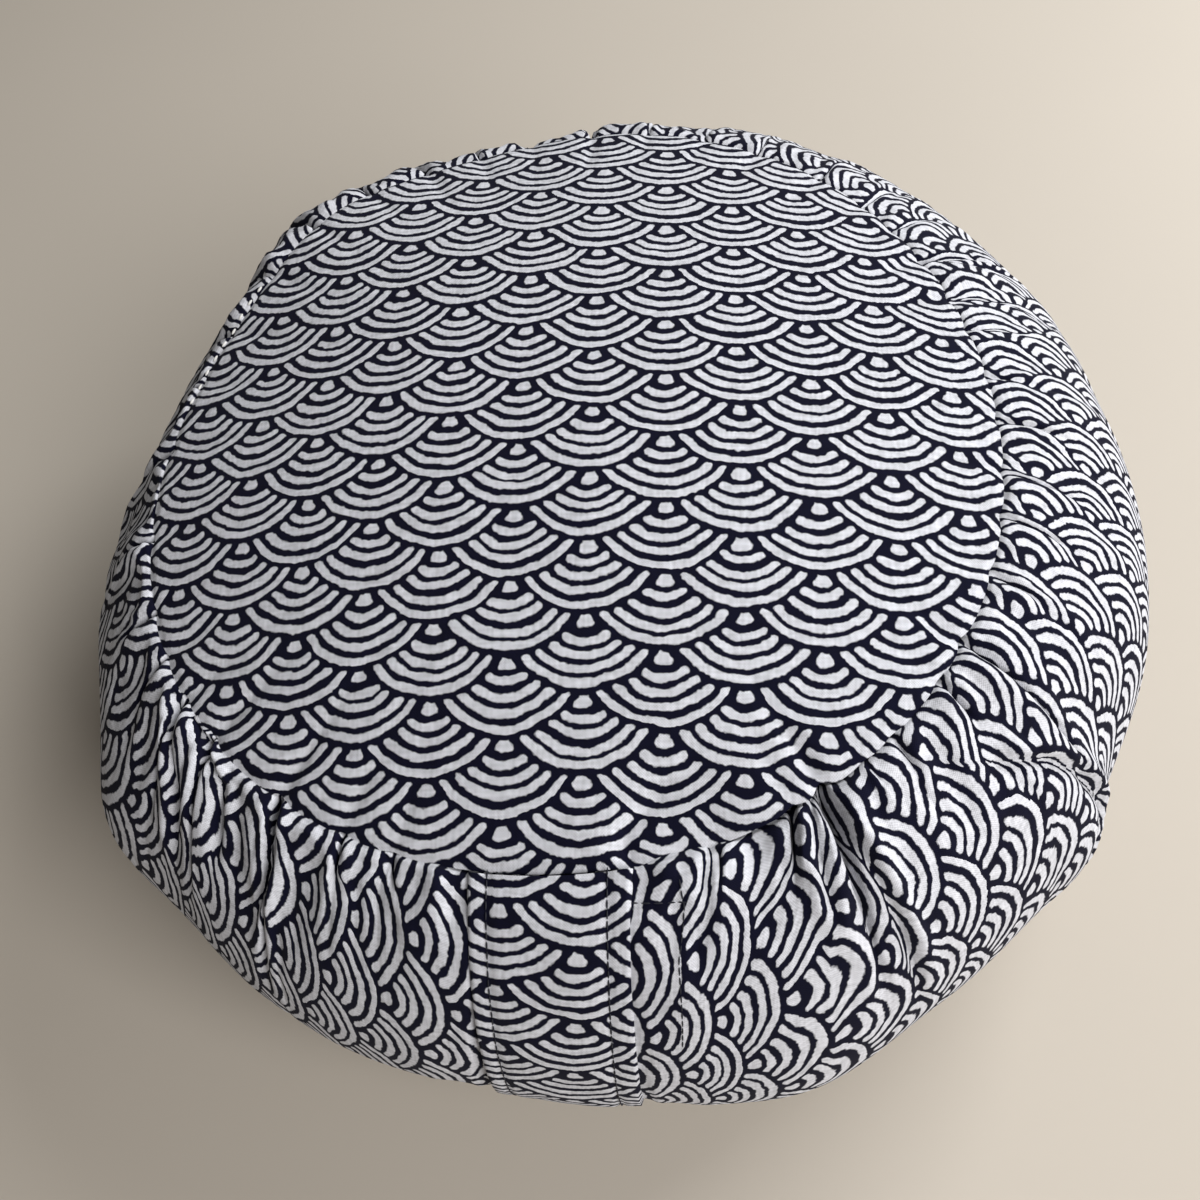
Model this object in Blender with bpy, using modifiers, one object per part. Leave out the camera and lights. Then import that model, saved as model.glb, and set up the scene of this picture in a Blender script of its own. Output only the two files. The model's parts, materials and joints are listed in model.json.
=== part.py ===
"""A zafu: a round, firmly filled meditation cushion in printed cotton canvas.

Four pieces are sewn into it. The side band is a long strip that is tucked into both seams and bulges
between them; it is modelled filled, as the cushion's solid body. The domed top panel and the flat bottom
panel lie in shallow rebates of that body, and the closure panel is a plain strip down the front of the band.

Metres, +Z up. The origin is the middle of the footprint, on the floor. Angles are in degrees about the
vertical axis through the middle of the top panel, counter-clockwise from +X seen from above, and the
closure panel faces -Y. Heights down the band go from 0 at the top seam, over 0.5 at the waist, to 1 at the
bottom seam.
"""

import math
from typing import NamedTuple

import bmesh
import bpy
import numpy as np

# The sewn cloth, and the room between pieces that touch
CLOTH = 0.002
GAP = 0.0003

# How far below the top seam the rebate's wall may end where a tuck opens beside it
REBATE_WALL = 0.0016

# The axis of the top panel stands a little to the left of the middle of the footprint
AXIS = (-0.0106, -0.0023)

# Top seam: mean radius and height, how far it rises to the right and to the back, and the dome's crown
SEAM_RADIUS = 0.1283
SEAM_HEIGHT = 0.1373
SEAM_RISE_RIGHT = 0.0088
SEAM_RISE_BACK = 0.0075
CROWN = 0.0184

# Towards the back left the seam lies further out, this far down the band's own curve
SEAM_SLIDE = 0.07
SLIDE_DEG = 122.0
SLIDE_HALF_DEG = 36.0

# Waist: mean radius and height of the widest part, and where its middle lies from the axis
WAIST_RADIUS = 0.1774
WAIST_HEIGHT = 0.0600
WAIST_CENTRE = (0.0136, 0.0034)
BULGE_POWER = 1.28

# The band's outward normal at a seam leans this share of the way from level to upright
NORMAL_LEAN = 0.9

# Bottom seam: radius, height above the floor, and where its middle lies from the axis
FOOT_RADIUS = 0.1260
FOOT_HEIGHT = 0.0027
FOOT_CENTRE = (0.0190, 0.0050)

# The closure panel, its middle at the top seam and at the waist, and its ends down the band
CLOSURE_WIDTH = 0.0430
CLOSURE_TOP_DEG = -99.3
CLOSURE_WAIST_DEG = -99.3
CLOSURE_ENDS = (0.012, 0.955)
CLOSURE_CLOTH = 0.0016
CLOSURE_STANDOFF = 0.0009

# The band is pressed in under the closure panel, and comes out again over this angle beside it
SEAT_DEPTH = 0.0014
SEAT_FADE_DEG = 4.0


class Wave(NamedTuple):
    """A gentle unevenness round an outline: waves in one turn, and their cosine and sine parts."""

    turns: int
    cosine: float
    sine: float


SEAM_WAVES = (Wave(2, 0.0007, 0.0035), Wave(3, -0.0030, -0.0003))
SEAM_HEIGHT_WAVES = (Wave(2, -0.0028, -0.0032),)
WAIST_WAVES = (Wave(2, 0.0019, 0.0058), Wave(3, -0.0012, 0.0009))


class Swell(NamedTuple):
    """A place where the filled cloth stands proud, or is drawn in where out is negative."""

    deg: float
    down: float
    half_deg: float
    half_down: float
    out: float


SWELLS = (
    Swell(deg=-155, down=0.42, half_deg=8, half_down=0.14, out=0.0068),
    Swell(deg=-106, down=0.50, half_deg=16, half_down=0.24, out=-0.0020),
    Swell(deg=-72, down=0.00, half_deg=9, half_down=0.10, out=-0.0036),
    Swell(deg=-76, down=0.50, half_deg=8, half_down=0.20, out=0.0036),
    Swell(deg=-34, down=0.36, half_deg=6, half_down=0.14, out=-0.0036),
    Swell(deg=-42, down=0.50, half_deg=5, half_down=0.14, out=0.0040),
    Swell(deg=17, down=0.45, half_deg=36, half_down=0.34, out=-0.0052),
    Swell(deg=88, down=0.26, half_deg=12, half_down=0.26, out=-0.0058),
    Swell(deg=124, down=0.24, half_deg=17, half_down=0.28, out=0.0084),
    Swell(deg=162, down=0.36, half_deg=14, half_down=0.28, out=-0.0024),
)


class Tuck(NamedTuple):
    """A tuck in the band: its angle at the top seam, and for each seam the share of the spare cloth that
    it takes up and how far down (or up) the band its crease reaches. Lean turns the crease on its way."""

    seam_deg: float
    top_share: float
    top_reach: float
    foot_share: float
    foot_reach: float
    lean_deg: float


TUCKS = (
    Tuck(-79.5, 0.6, 0.14, 0.9, 0.22, 0.0),
    Tuck(-70.5, 1.1, 0.17, 0.8, 0.20, -3.0),
    Tuck(-66.5, 1.7, 0.46, 1.8, 0.50, 1.5),
    Tuck(-61.0, 0.5, 0.10, 0.7, 0.18, 0.0),
    Tuck(-56.5, 0.7, 0.12, 0.9, 0.22, 0.0),
    Tuck(-47.5, 1.0, 0.14, 0.8, 0.20, 0.0),
    Tuck(-41.5, 1.4, 0.44, 1.8, 0.50, 1.0),
    Tuck(-31.0, 0.8, 0.16, 0.9, 0.24, 0.0),
    Tuck(-22.5, 0.9, 0.20, 0.9, 0.22, 1.0),
    Tuck(-15.5, 1.0, 0.22, 0.8, 0.20, 0.0),
    Tuck(-7.0, 0.9, 0.18, 1.1, 0.30, 0.0),
    Tuck(0.5, 0.7, 0.12, 0.8, 0.20, 0.0),
    Tuck(9.0, 1.0, 0.24, 1.0, 0.26, 1.0),
    Tuck(15.0, 1.2, 0.28, 0.8, 0.20, -1.0),
    Tuck(23.0, 1.5, 0.36, 1.1, 0.28, -2.0),
    Tuck(30.0, 1.0, 0.18, 0.8, 0.22, 0.0),
    Tuck(36.0, 0.9, 0.16, 1.0, 0.24, 0.0),
    Tuck(44.0, 0.9, 0.16, 0.9, 0.20, 0.0),
    Tuck(54.0, 1.2, 0.24, 1.1, 0.28, 1.0),
    Tuck(62.5, 0.8, 0.18, 0.9, 0.22, 0.0),
    Tuck(71.0, 0.9, 0.22, 0.8, 0.20, -1.0),
    Tuck(79.5, 1.4, 0.32, 1.2, 0.30, 0.0),
    Tuck(89.0, 0.8, 0.18, 0.9, 0.20, 0.0),
    Tuck(97.0, 0.9, 0.22, 1.0, 0.26, 1.0),
    Tuck(105.5, 1.4, 0.34, 1.1, 0.24, 0.0),
    Tuck(115.0, 1.0, 0.24, 0.9, 0.22, 0.0),
    Tuck(125.0, 1.1, 0.30, 1.2, 0.30, -1.0),
    Tuck(135.0, 1.0, 0.22, 0.8, 0.20, 0.0),
    Tuck(145.5, 1.1, 0.26, 1.1, 0.28, 1.0),
    Tuck(155.0, 0.8, 0.18, 0.9, 0.20, 0.0),
    Tuck(166.0, 1.0, 0.24, 0.9, 0.24, 0.0),
    Tuck(180.0, 1.2, 0.30, 1.1, 0.26, -1.0),
    Tuck(191.0, 0.9, 0.20, 0.9, 0.20, 0.0),
    Tuck(198.0, 0.9, 0.22, 0.8, 0.22, 1.0),
    Tuck(205.0, 1.2, 0.34, 1.2, 0.32, 3.0),
    Tuck(212.0, 1.6, 0.40, 1.3, 0.36, 3.0),
    Tuck(224.5, 1.8, 0.46, 1.5, 0.44, 2.0),
    Tuck(234.5, 1.0, 0.14, 0.8, 0.20, 0.0),
    Tuck(241.5, 0.7, 0.10, 0.8, 0.18, 0.0),
)

# A tuck's own form: its open mouth as a share of its cloth, the slit's depth and least half-width, the soft
# dent round it, the lip beside it, and the half-width over which its cloth lies once the crease has ended
TUCK_MOUTH = 0.15
TUCK_DEEPEST = 0.0065
TUCK_LEAST_HALF_DEG = 0.9
TUCK_DENT = 0.0016
TUCK_DENT_DEG = 3.4
TUCK_DENT_MOST_SHARE = 1.5
TUCK_LIP = 0.0012
TUCK_LIP_PLACE = 1.7
TUCK_EASED_DEG = 4.5

# Along a tuck: its depth at the seam as a share of its full depth, where it is fully deep, and the share of
# its reach at which it starts to fade
TUCK_SEAM_DEPTH = 0.25
TUCK_FULL_DOWN = 0.07
TUCK_FADE_START = 0.35

# A crease has all its lean this far from its seam, and turns the cloth to this width
LEAN_DOWN = 0.30
LEAN_SPREAD_DEG = 9.0

# The soft hollow that runs from the closure panel's corner into the top panel
HOLLOW_DEG = -83.0
HOLLOW_DEPTH = 0.0024
HOLLOW_HALF_DEG = 7.0
HOLLOW_SHARES = (0.72, 0.96)

# How finely the pieces are built
COLUMN_SPACING_DEG = 4.0
BAND_RINGS = 18
RING_CROWDING = 1.35
PANEL_RINGS = 5
CLOSURE_COLUMNS = 6
CLOSURE_ROWS = 22
SHARP_DEG = 50

NAVY = (0.012, 0.014, 0.045, 1.0)
GREY = (0.560, 0.540, 0.510, 1.0)


def smooth(x: np.ndarray) -> np.ndarray:
    """Ease from 0 to 1 as x goes from 0 to 1."""
    x = np.clip(x, 0.0, 1.0)
    return x * x * (3.0 - 2.0 * x)


def turn_between(deg: np.ndarray, other: float) -> np.ndarray:
    """The signed angle from other to deg, between -180 and 180 degrees."""
    return (deg - other + 180.0) % 360.0 - 180.0


def waves(deg: np.ndarray, rows: tuple) -> np.ndarray:
    """The sum of the rows of waves round an outline."""
    turn = np.radians(deg)
    return sum(row.cosine * np.cos(row.turns * turn) + row.sine * np.sin(row.turns * turn) for row in rows)


def offset_circle(deg: np.ndarray, radius: float, centre: tuple) -> np.ndarray:
    """The radius, from the axis, of a circle whose middle lies a little off the axis."""
    turn = np.radians(deg)
    return radius + centre[0] * np.cos(turn) + centre[1] * np.sin(turn)


def foot_radius(deg: np.ndarray) -> np.ndarray:
    """The radius, from the axis, of the bottom seam."""
    return offset_circle(deg, FOOT_RADIUS, FOOT_CENTRE)


def level_seam(deg: np.ndarray) -> np.ndarray:
    """The height of the top of the band's curve."""
    turn = np.radians(deg)
    rise = SEAM_RISE_RIGHT * np.cos(turn) + SEAM_RISE_BACK * np.sin(turn)
    return SEAM_HEIGHT + rise + waves(deg, SEAM_HEIGHT_WAVES)


def spare_cloth(down: np.ndarray) -> np.ndarray:
    """How much longer the strip is than the cushion's girth at this height, as a share of the girth."""
    bulge = np.cos(math.pi * (0.5 - down)) ** BULGE_POWER
    end = np.where(down < 0.5, SEAM_RADIUS, FOOT_RADIUS)
    return WAIST_RADIUS / (end + (WAIST_RADIUS - end) * bulge) - 1.0


def strip_places() -> list:
    """Where each tuck lies along the strip, in degrees at the waist, from the closure panel onwards."""
    spare = float(spare_cloth(np.array(0.0)))
    cloth_in_tucks = 360.0 * spare / (1.0 + spare)
    per_share = cloth_in_tucks / sum(tuck.top_share for tuck in TUCKS)
    places = []
    used = 0.0
    for tuck in TUCKS:
        hidden = per_share * tuck.top_share
        visible = (tuck.seam_deg - CLOSURE_TOP_DEG) / (1.0 + spare)
        places.append(CLOSURE_TOP_DEG + visible + used + hidden / 2.0)
        used += hidden
    return places


STRIP_PLACES = strip_places()


def tuck_openness(tuck: Tuck, down: np.ndarray) -> np.ndarray:
    """How deep a tuck's crease is at each height, from 0 to 1: deepest a little way from its seam."""
    from_seam = np.minimum(down, 1.0 - down)
    reach = np.where(down < 0.5, tuck.top_reach, tuck.foot_reach)
    sunk = TUCK_SEAM_DEPTH + (1.0 - TUCK_SEAM_DEPTH) * smooth(from_seam / TUCK_FULL_DOWN)
    return sunk * (1.0 - smooth((from_seam / reach - TUCK_FADE_START) / (1.0 - TUCK_FADE_START)))


def soft_ramp(x: np.ndarray) -> np.ndarray:
    """Rise evenly from 0 to 1 as x goes from -1 to 1, with eased ends."""
    return 0.5 + 0.5 * x / (1.0 + np.abs(x) ** 4) ** 0.25


def gather(strip_deg: np.ndarray, down: np.ndarray) -> tuple:
    """Where the strip's cloth lies once it is tucked.

    Returns the angle of each point about the axis, and how far the tucks push it out of the plain form.
    """
    spare = spare_cloth(down)
    along = (strip_deg - CLOSURE_TOP_DEG) % 360.0
    turn = CLOSURE_TOP_DEG + along * (1.0 + spare)
    push = np.zeros_like(along)
    shares = np.where(down < 0.5, sum(row.top_share for row in TUCKS), sum(row.foot_share for row in TUCKS))
    for tuck, strip_place in zip(TUCKS, STRIP_PLACES):
        share = np.where(down < 0.5, tuck.top_share, tuck.foot_share)
        hidden = 360.0 * spare * share / shares
        openness = tuck_openness(tuck, down)
        tight = hidden / (2.0 * (1.0 - TUCK_MOUTH) * (1.0 + spare))
        half = tight + (TUCK_EASED_DEG - tight) * (1.0 - openness) ** 3
        near = along - (strip_place - CLOSURE_TOP_DEG)
        turn = turn - hidden * soft_ramp(near / half)
        slit = np.minimum(0.5 * np.radians(hidden) * SEAM_RADIUS, TUCK_DEEPEST)
        valley = np.maximum(tight, TUCK_LEAST_HALF_DEG)
        dent = TUCK_DENT * min(tuck.top_share, TUCK_DENT_MOST_SHARE) * np.exp(-((near / TUCK_DENT_DEG) ** 2))
        lip = TUCK_LIP * tuck.top_share * np.exp(-((np.abs(near) / valley - TUCK_LIP_PLACE) ** 2))
        push = push + openness * (lip - slit * (1.0 - smooth(np.abs(near / valley))) - dent)
        lean = tuck.lean_deg * smooth(np.minimum(down, 1.0 - down) / LEAN_DOWN)
        turn = turn + lean * np.exp(-((near / LEAN_SPREAD_DEG) ** 2))
    return turn, push


def swelling(deg: np.ndarray, down: np.ndarray) -> np.ndarray:
    """How far the swells push the band out."""
    total = np.zeros_like(deg)
    for swell in SWELLS:
        across = turn_between(deg, swell.deg) / swell.half_deg
        along = (down - swell.down) / swell.half_down
        total = total + swell.out * np.exp(-(across**2) - along**2)
    return total


def seam_slid(deg: np.ndarray) -> np.ndarray:
    """How far the top seam has slid down the band's curve, as a share of the most that it does."""
    return np.exp(-((turn_between(deg, SLIDE_DEG) / SLIDE_HALF_DEG) ** 2))


def curve_point(deg: np.ndarray, down: np.ndarray) -> tuple:
    """Radius and height of the band's plain curve, the lean of its normal, and the swell there."""
    slide = SEAM_SLIDE * seam_slid(deg)
    down = np.where(down < 0.5, slide + (1.0 - 2.0 * slide) * down, down)
    end_radius = np.where(down < 0.5, SEAM_RADIUS + waves(deg, SEAM_WAVES), foot_radius(deg))
    end_height = np.where(down < 0.5, level_seam(deg), FOOT_HEIGHT)
    waist = offset_circle(deg, WAIST_RADIUS, WAIST_CENTRE) + waves(deg, WAIST_WAVES)
    slope = math.pi * (0.5 - down)
    reach, rise = np.cos(slope) ** BULGE_POWER, np.abs(np.sin(slope))
    radius = end_radius + (waist - end_radius) * reach
    height = WAIST_HEIGHT + (end_height - WAIST_HEIGHT) * rise
    return radius, height, slope * NORMAL_LEAN, swelling(deg, down)


def seam_radius(deg: np.ndarray) -> np.ndarray:
    """The radius of the top seam."""
    radius, _, lean, swell = curve_point(deg, np.zeros_like(deg))
    return radius + seam_slid(deg) * swell * np.cos(lean)


def seam_height(deg: np.ndarray) -> np.ndarray:
    """The height of the top seam."""
    _, height, lean, swell = curve_point(deg, np.zeros_like(deg))
    return height + seam_slid(deg) * swell * np.sin(lean)


def band_point(deg: np.ndarray, down: np.ndarray, push: np.ndarray) -> tuple:
    """Radius and height of the band's surface, pushed outwards along its own normal."""
    radius, height, lean, swell = curve_point(deg, down)
    return radius + (push + swell) * np.cos(lean), height + (push + swell) * np.sin(lean)


def closure_middle(down: np.ndarray) -> np.ndarray:
    """The angle of the closure panel's middle at each height."""
    return CLOSURE_TOP_DEG + (CLOSURE_WAIST_DEG - CLOSURE_TOP_DEG) * smooth(down / 0.5)


def closure_seat(deg: np.ndarray, down: np.ndarray) -> np.ndarray:
    """How far the band is pressed in under the closure panel."""
    half_deg = np.degrees(CLOSURE_WIDTH / 2.0 / SEAM_RADIUS)
    beside = np.abs(turn_between(deg, closure_middle(down))) - half_deg
    return SEAT_DEPTH * (1.0 - smooth(beside / SEAT_FADE_DEG))


def dome_height(deg: np.ndarray, share: np.ndarray) -> np.ndarray:
    """Height of the top panel's upper face, at a share of the way from its middle to the seam."""
    turn = np.radians(deg)
    rise = SEAM_RISE_RIGHT * np.cos(turn) + SEAM_RISE_BACK * np.sin(turn)
    level = SEAM_HEIGHT + rise * share + waves(deg, SEAM_HEIGHT_WAVES) * share**2
    across = turn_between(deg, HOLLOW_DEG) / HOLLOW_HALF_DEG
    hollow = HOLLOW_DEPTH * np.exp(-(across**2)) * smooth((share - HOLLOW_SHARES[0]) / (HOLLOW_SHARES[1] - HOLLOW_SHARES[0]))
    return level + CROWN * (1.0 - share**2) - hollow + (seam_height(deg) - level_seam(deg)) * share**4


def place(deg: float, radius: float, height: float) -> tuple:
    """A point from its angle and radius about the axis, in the part's frame."""
    turn = math.radians(deg)
    return (AXIS[0] + radius * math.cos(turn), AXIS[1] + radius * math.sin(turn), height)


def strip_columns() -> np.ndarray:
    """The places along the strip of the columns: both lips and the crease of each tuck, and the cloth between."""
    spare = float(spare_cloth(np.array(0.0)))
    per_share = 360.0 * spare / sum(tuck.top_share for tuck in TUCKS)
    columns = []
    for index, (tuck, middle) in enumerate(zip(TUCKS, STRIP_PLACES)):
        half = per_share * tuck.top_share / (2.0 * (1.0 - TUCK_MOUTH) * (1.0 + spare))
        columns += [middle + step * half for step in (-1.0, 0.0, 1.0)]
        following = STRIP_PLACES[index + 1] if index + 1 < len(TUCKS) else STRIP_PLACES[0] + 360.0
        between = max(1, round((following - middle) / COLUMN_SPACING_DEG) - 1)
        columns += [middle + (following - middle) * (step + 1) / (between + 1) for step in range(between)]
    return np.array(sorted((deg - CLOSURE_TOP_DEG) % 360.0 + CLOSURE_TOP_DEG for deg in columns))


def band_rings() -> list:
    """Rings of the filled body from the top pole to the bottom one, as angles, radii and heights."""
    columns = strip_columns()
    seam_deg, _ = gather(columns, np.zeros_like(columns))
    foot_deg, _ = gather(columns, np.ones_like(columns))
    under = CLOTH + GAP
    rings = []
    for step in range(1, PANEL_RINGS + 1):
        share = step / PANEL_RINGS
        radius = share * seam_radius(seam_deg) + (GAP if step == PANEL_RINGS else 0.0)
        rings.append((seam_deg, radius, dome_height(seam_deg, share) - under))
    for step in range(BAND_RINGS + 1):
        from_waist = 1.0 - 2.0 * step / BAND_RINGS
        from_seam = (1.0 - abs(from_waist)) ** RING_CROWDING
        down = np.full_like(columns, from_seam / 2.0 if from_waist > 0.0 else 1.0 - from_seam / 2.0)
        deg, push = gather(columns, down)
        radius, height = band_point(deg, down, push - closure_seat(deg, down))
        if step == 0:
            radius = seam_radius(deg) + GAP
            height = np.maximum(height, seam_height(deg) - REBATE_WALL)
        if step == BAND_RINGS:
            radius = foot_radius(deg) + GAP
            height = np.maximum(height, FOOT_HEIGHT)
        rings.append((deg, radius, height))
    for share in (1.0, 0.5):
        rings.append((foot_deg, share * (foot_radius(foot_deg) + GAP), np.full_like(foot_deg, under)))
    return rings


def new_object(name: str, mesh_tool: bmesh.types.BMesh, material: bpy.types.Material) -> bpy.types.Object:
    """Turn an edited mesh into a named object of the cushion, smooth but for its sharp edges."""
    mesh = bpy.data.meshes.new(name)
    mesh_tool.to_mesh(mesh)
    mesh_tool.free()
    mesh.materials.append(material)
    mesh.shade_smooth()
    mesh.set_sharp_from_angle(angle=math.radians(SHARP_DEG))
    piece = bpy.data.objects.new(name, mesh)
    bpy.data.collections["zafu"].objects.link(piece)
    return piece


def ball_of_rings(rings: list, top: tuple, bottom: tuple) -> bmesh.types.BMesh:
    """A sphere whose poles and rings are carried to the given points, and rings of angles, radii, heights."""
    count = len(rings[0][0])
    last = len(rings) + 1
    form = bmesh.new()
    bmesh.ops.create_uvsphere(form, u_segments=count, v_segments=last, radius=1.0)
    for vertex in form.verts:
        ring = round(math.acos(max(-1.0, min(1.0, vertex.co.z))) / math.pi * last)
        if ring in (0, last):
            vertex.co = top if ring == 0 else bottom
            continue
        column = round(math.atan2(vertex.co.y, vertex.co.x) / math.tau * count) % count
        deg, radius, height = (float(values[column]) for values in rings[ring - 1])
        vertex.co = place(deg, radius, height)
    bmesh.ops.triangulate(form, faces=form.faces[:], quad_method="SHORT_EDGE")
    return form


def dome_middle() -> float:
    """Height of the middle of the top panel."""
    return float(dome_height(np.array(0.0), np.array(0.0)))


def side_band(material: bpy.types.Material) -> None:
    """The tucked band with its filling, as one solid, with a rebate for each round panel."""
    under = CLOTH + GAP
    top = place(0.0, 0.0, dome_middle() - under)
    new_object("side_band", ball_of_rings(band_rings(), top, place(0.0, 0.0, under)), material)


def top_panel(material: bpy.types.Material) -> None:
    """The domed panel of one cloth's thickness that is sewn in at the top seam."""
    columns = strip_columns()
    deg, _ = gather(columns, np.zeros_like(columns))
    shares = [step / PANEL_RINGS for step in range(1, PANEL_RINGS + 1)]
    upper = [(deg, share * seam_radius(deg), dome_height(deg, share)) for share in shares]
    lower = [(deg, radius, height - CLOTH) for deg, radius, height in reversed(upper)]
    top = place(0.0, 0.0, dome_middle())
    bottom = place(0.0, 0.0, dome_middle() - CLOTH)
    new_object("top_panel", ball_of_rings(upper + lower, top, bottom), material)


def bottom_panel(material: bpy.types.Material) -> None:
    """The round panel that the cushion rests on, pressed flat on the floor."""
    columns = strip_columns()
    deg, _ = gather(columns, np.ones_like(columns))
    rim = foot_radius(deg)
    rings = [(deg, share * rim, np.full_like(deg, CLOTH)) for share in (0.5, 1.0)]
    rings += [(deg, radius, np.zeros_like(deg)) for deg, radius, _ in reversed(rings)]
    new_object("bottom_panel", ball_of_rings(rings, place(0.0, 0.0, CLOTH), place(0.0, 0.0, 0.0)), material)


def closure_panel(material: bpy.types.Material) -> None:
    """The plain strip over the filling slot: a grid laid on the band and thickened outwards."""
    form = bmesh.new()
    bmesh.ops.create_grid(form, x_segments=CLOSURE_COLUMNS, y_segments=CLOSURE_ROWS, size=1.0)
    first, last = CLOSURE_ENDS
    for vertex in form.verts:
        across, along = vertex.co.x, (1.0 - vertex.co.y) / 2.0
        down = np.array(first + (last - first) * along)
        middle = float(closure_middle(down))
        plain_radius, _ = band_point(middle, down, np.array(0.0))
        deg = middle + across * math.degrees(CLOSURE_WIDTH / 2.0 / float(plain_radius))
        radius, height = band_point(deg, down, np.array(CLOSURE_STANDOFF - SEAT_DEPTH))
        vertex.co = place(float(deg), float(radius), float(height))
    form.normal_update()
    if sum(face.normal.y for face in form.faces) > 0:
        bmesh.ops.reverse_faces(form, faces=form.faces)
    thickness = new_object("closure_panel", form, material).modifiers.new("cloth", "SOLIDIFY")
    thickness.thickness = CLOSURE_CLOTH
    thickness.offset = 1.0


def cotton(name: str, colour: tuple) -> bpy.types.Material:
    """Matt cotton canvas."""
    material = bpy.data.materials.new(name)
    material.use_nodes = True
    shader = material.node_tree.nodes["Principled BSDF"]
    shader.inputs["Base Color"].default_value = colour
    shader.inputs["Roughness"].default_value = 0.9
    shader.inputs["Metallic"].default_value = 0.0
    material.diffuse_color = colour
    return material


def main() -> None:
    """Clear the scene and sew the cushion."""
    for old in list(bpy.data.objects):
        bpy.data.objects.remove(old)
    bpy.context.scene.collection.children.link(bpy.data.collections.new("zafu"))
    side_band(cotton("band canvas", NAVY))
    top_panel(cotton("top canvas", GREY))
    bottom_panel(cotton("bottom canvas", NAVY))
    closure_panel(cotton("closure canvas", GREY))


main()
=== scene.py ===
"""Looks of a zafu: a round, firmly filled meditation cushion in wave-printed cotton canvas.

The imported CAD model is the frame. Each of its four pieces is replaced by the same form in sewn cloth: the
band with its tucks and wrinkles, the domed top panel with its puckered seam, the closure strip with its
topstitching, and the bottom panel. The print is drawn in the material, in the cloth's own coordinates.

Angles are in degrees about the vertical axis of the top panel, counter-clockwise from +X. Heights down the
band go from 0 at the top seam, over 0.5 at the waist, to 1 at the bottom seam.
"""

from __future__ import annotations

import json
import logging
import math
from dataclasses import dataclass
from enum import Enum
from typing import Callable, NamedTuple

import bmesh
import bpy
import numpy as np
from mathutils import Matrix, Vector, noise

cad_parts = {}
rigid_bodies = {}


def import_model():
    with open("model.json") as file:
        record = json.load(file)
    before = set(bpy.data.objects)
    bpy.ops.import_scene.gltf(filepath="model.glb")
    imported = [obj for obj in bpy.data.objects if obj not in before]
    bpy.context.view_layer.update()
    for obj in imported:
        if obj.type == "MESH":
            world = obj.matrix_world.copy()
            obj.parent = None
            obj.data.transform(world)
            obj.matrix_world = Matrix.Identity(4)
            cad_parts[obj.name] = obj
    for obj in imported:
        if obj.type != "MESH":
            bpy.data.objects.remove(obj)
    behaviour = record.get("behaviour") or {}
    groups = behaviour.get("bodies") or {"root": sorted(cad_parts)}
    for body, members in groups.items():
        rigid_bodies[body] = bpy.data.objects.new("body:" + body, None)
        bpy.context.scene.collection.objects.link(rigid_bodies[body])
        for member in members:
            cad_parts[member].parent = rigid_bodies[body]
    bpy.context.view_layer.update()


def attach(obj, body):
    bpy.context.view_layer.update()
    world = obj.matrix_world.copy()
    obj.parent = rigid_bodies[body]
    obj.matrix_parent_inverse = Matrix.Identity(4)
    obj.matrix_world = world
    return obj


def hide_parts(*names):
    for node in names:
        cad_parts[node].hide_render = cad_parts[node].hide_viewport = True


logging.basicConfig(level=logging.INFO, format="%(levelname)s %(message)s")
LOG = logging.getLogger("zafu")

CLOTH_MAP = "cloth"
BAKE_MAP = "OFBake"


class Wave(NamedTuple):
    """A gentle unevenness round an outline: waves in one turn, and their cosine and sine parts."""

    turns: int
    cosine: float
    sine: float


class Swell(NamedTuple):
    """A place where the filled cloth stands proud, or is drawn in where out is negative."""

    deg: float
    down: float
    half_deg: float
    half_down: float
    out: float


class Tuck(NamedTuple):
    """A tuck: its angle at the top seam, its share of the spare cloth and its reach at each seam, its lean."""

    seam_deg: float
    top_share: float
    top_reach: float
    foot_share: float
    foot_reach: float
    lean_deg: float


SWELLS = (
    Swell(deg=-155, down=0.42, half_deg=8, half_down=0.14, out=0.0068),
    Swell(deg=-106, down=0.50, half_deg=16, half_down=0.24, out=-0.0020),
    Swell(deg=-72, down=0.00, half_deg=9, half_down=0.10, out=-0.0036),
    Swell(deg=-76, down=0.50, half_deg=8, half_down=0.20, out=0.0036),
    Swell(deg=-34, down=0.36, half_deg=6, half_down=0.14, out=-0.0036),
    Swell(deg=-42, down=0.50, half_deg=5, half_down=0.14, out=0.0040),
    Swell(deg=17, down=0.45, half_deg=36, half_down=0.34, out=-0.0052),
    Swell(deg=88, down=0.26, half_deg=12, half_down=0.26, out=-0.0058),
    Swell(deg=124, down=0.24, half_deg=17, half_down=0.28, out=0.0084),
    Swell(deg=162, down=0.36, half_deg=14, half_down=0.28, out=-0.0024),
)


class Fold(NamedTuple):
    """A sharp fold: its path, its depth, half its width, its raised side and the cloth that it hides.

    The path's points are an angle and a height down the band, or an angle and a share of the top panel.
    """

    path: tuple
    depth: float
    half: float
    ridge: float
    hidden: float


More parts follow.
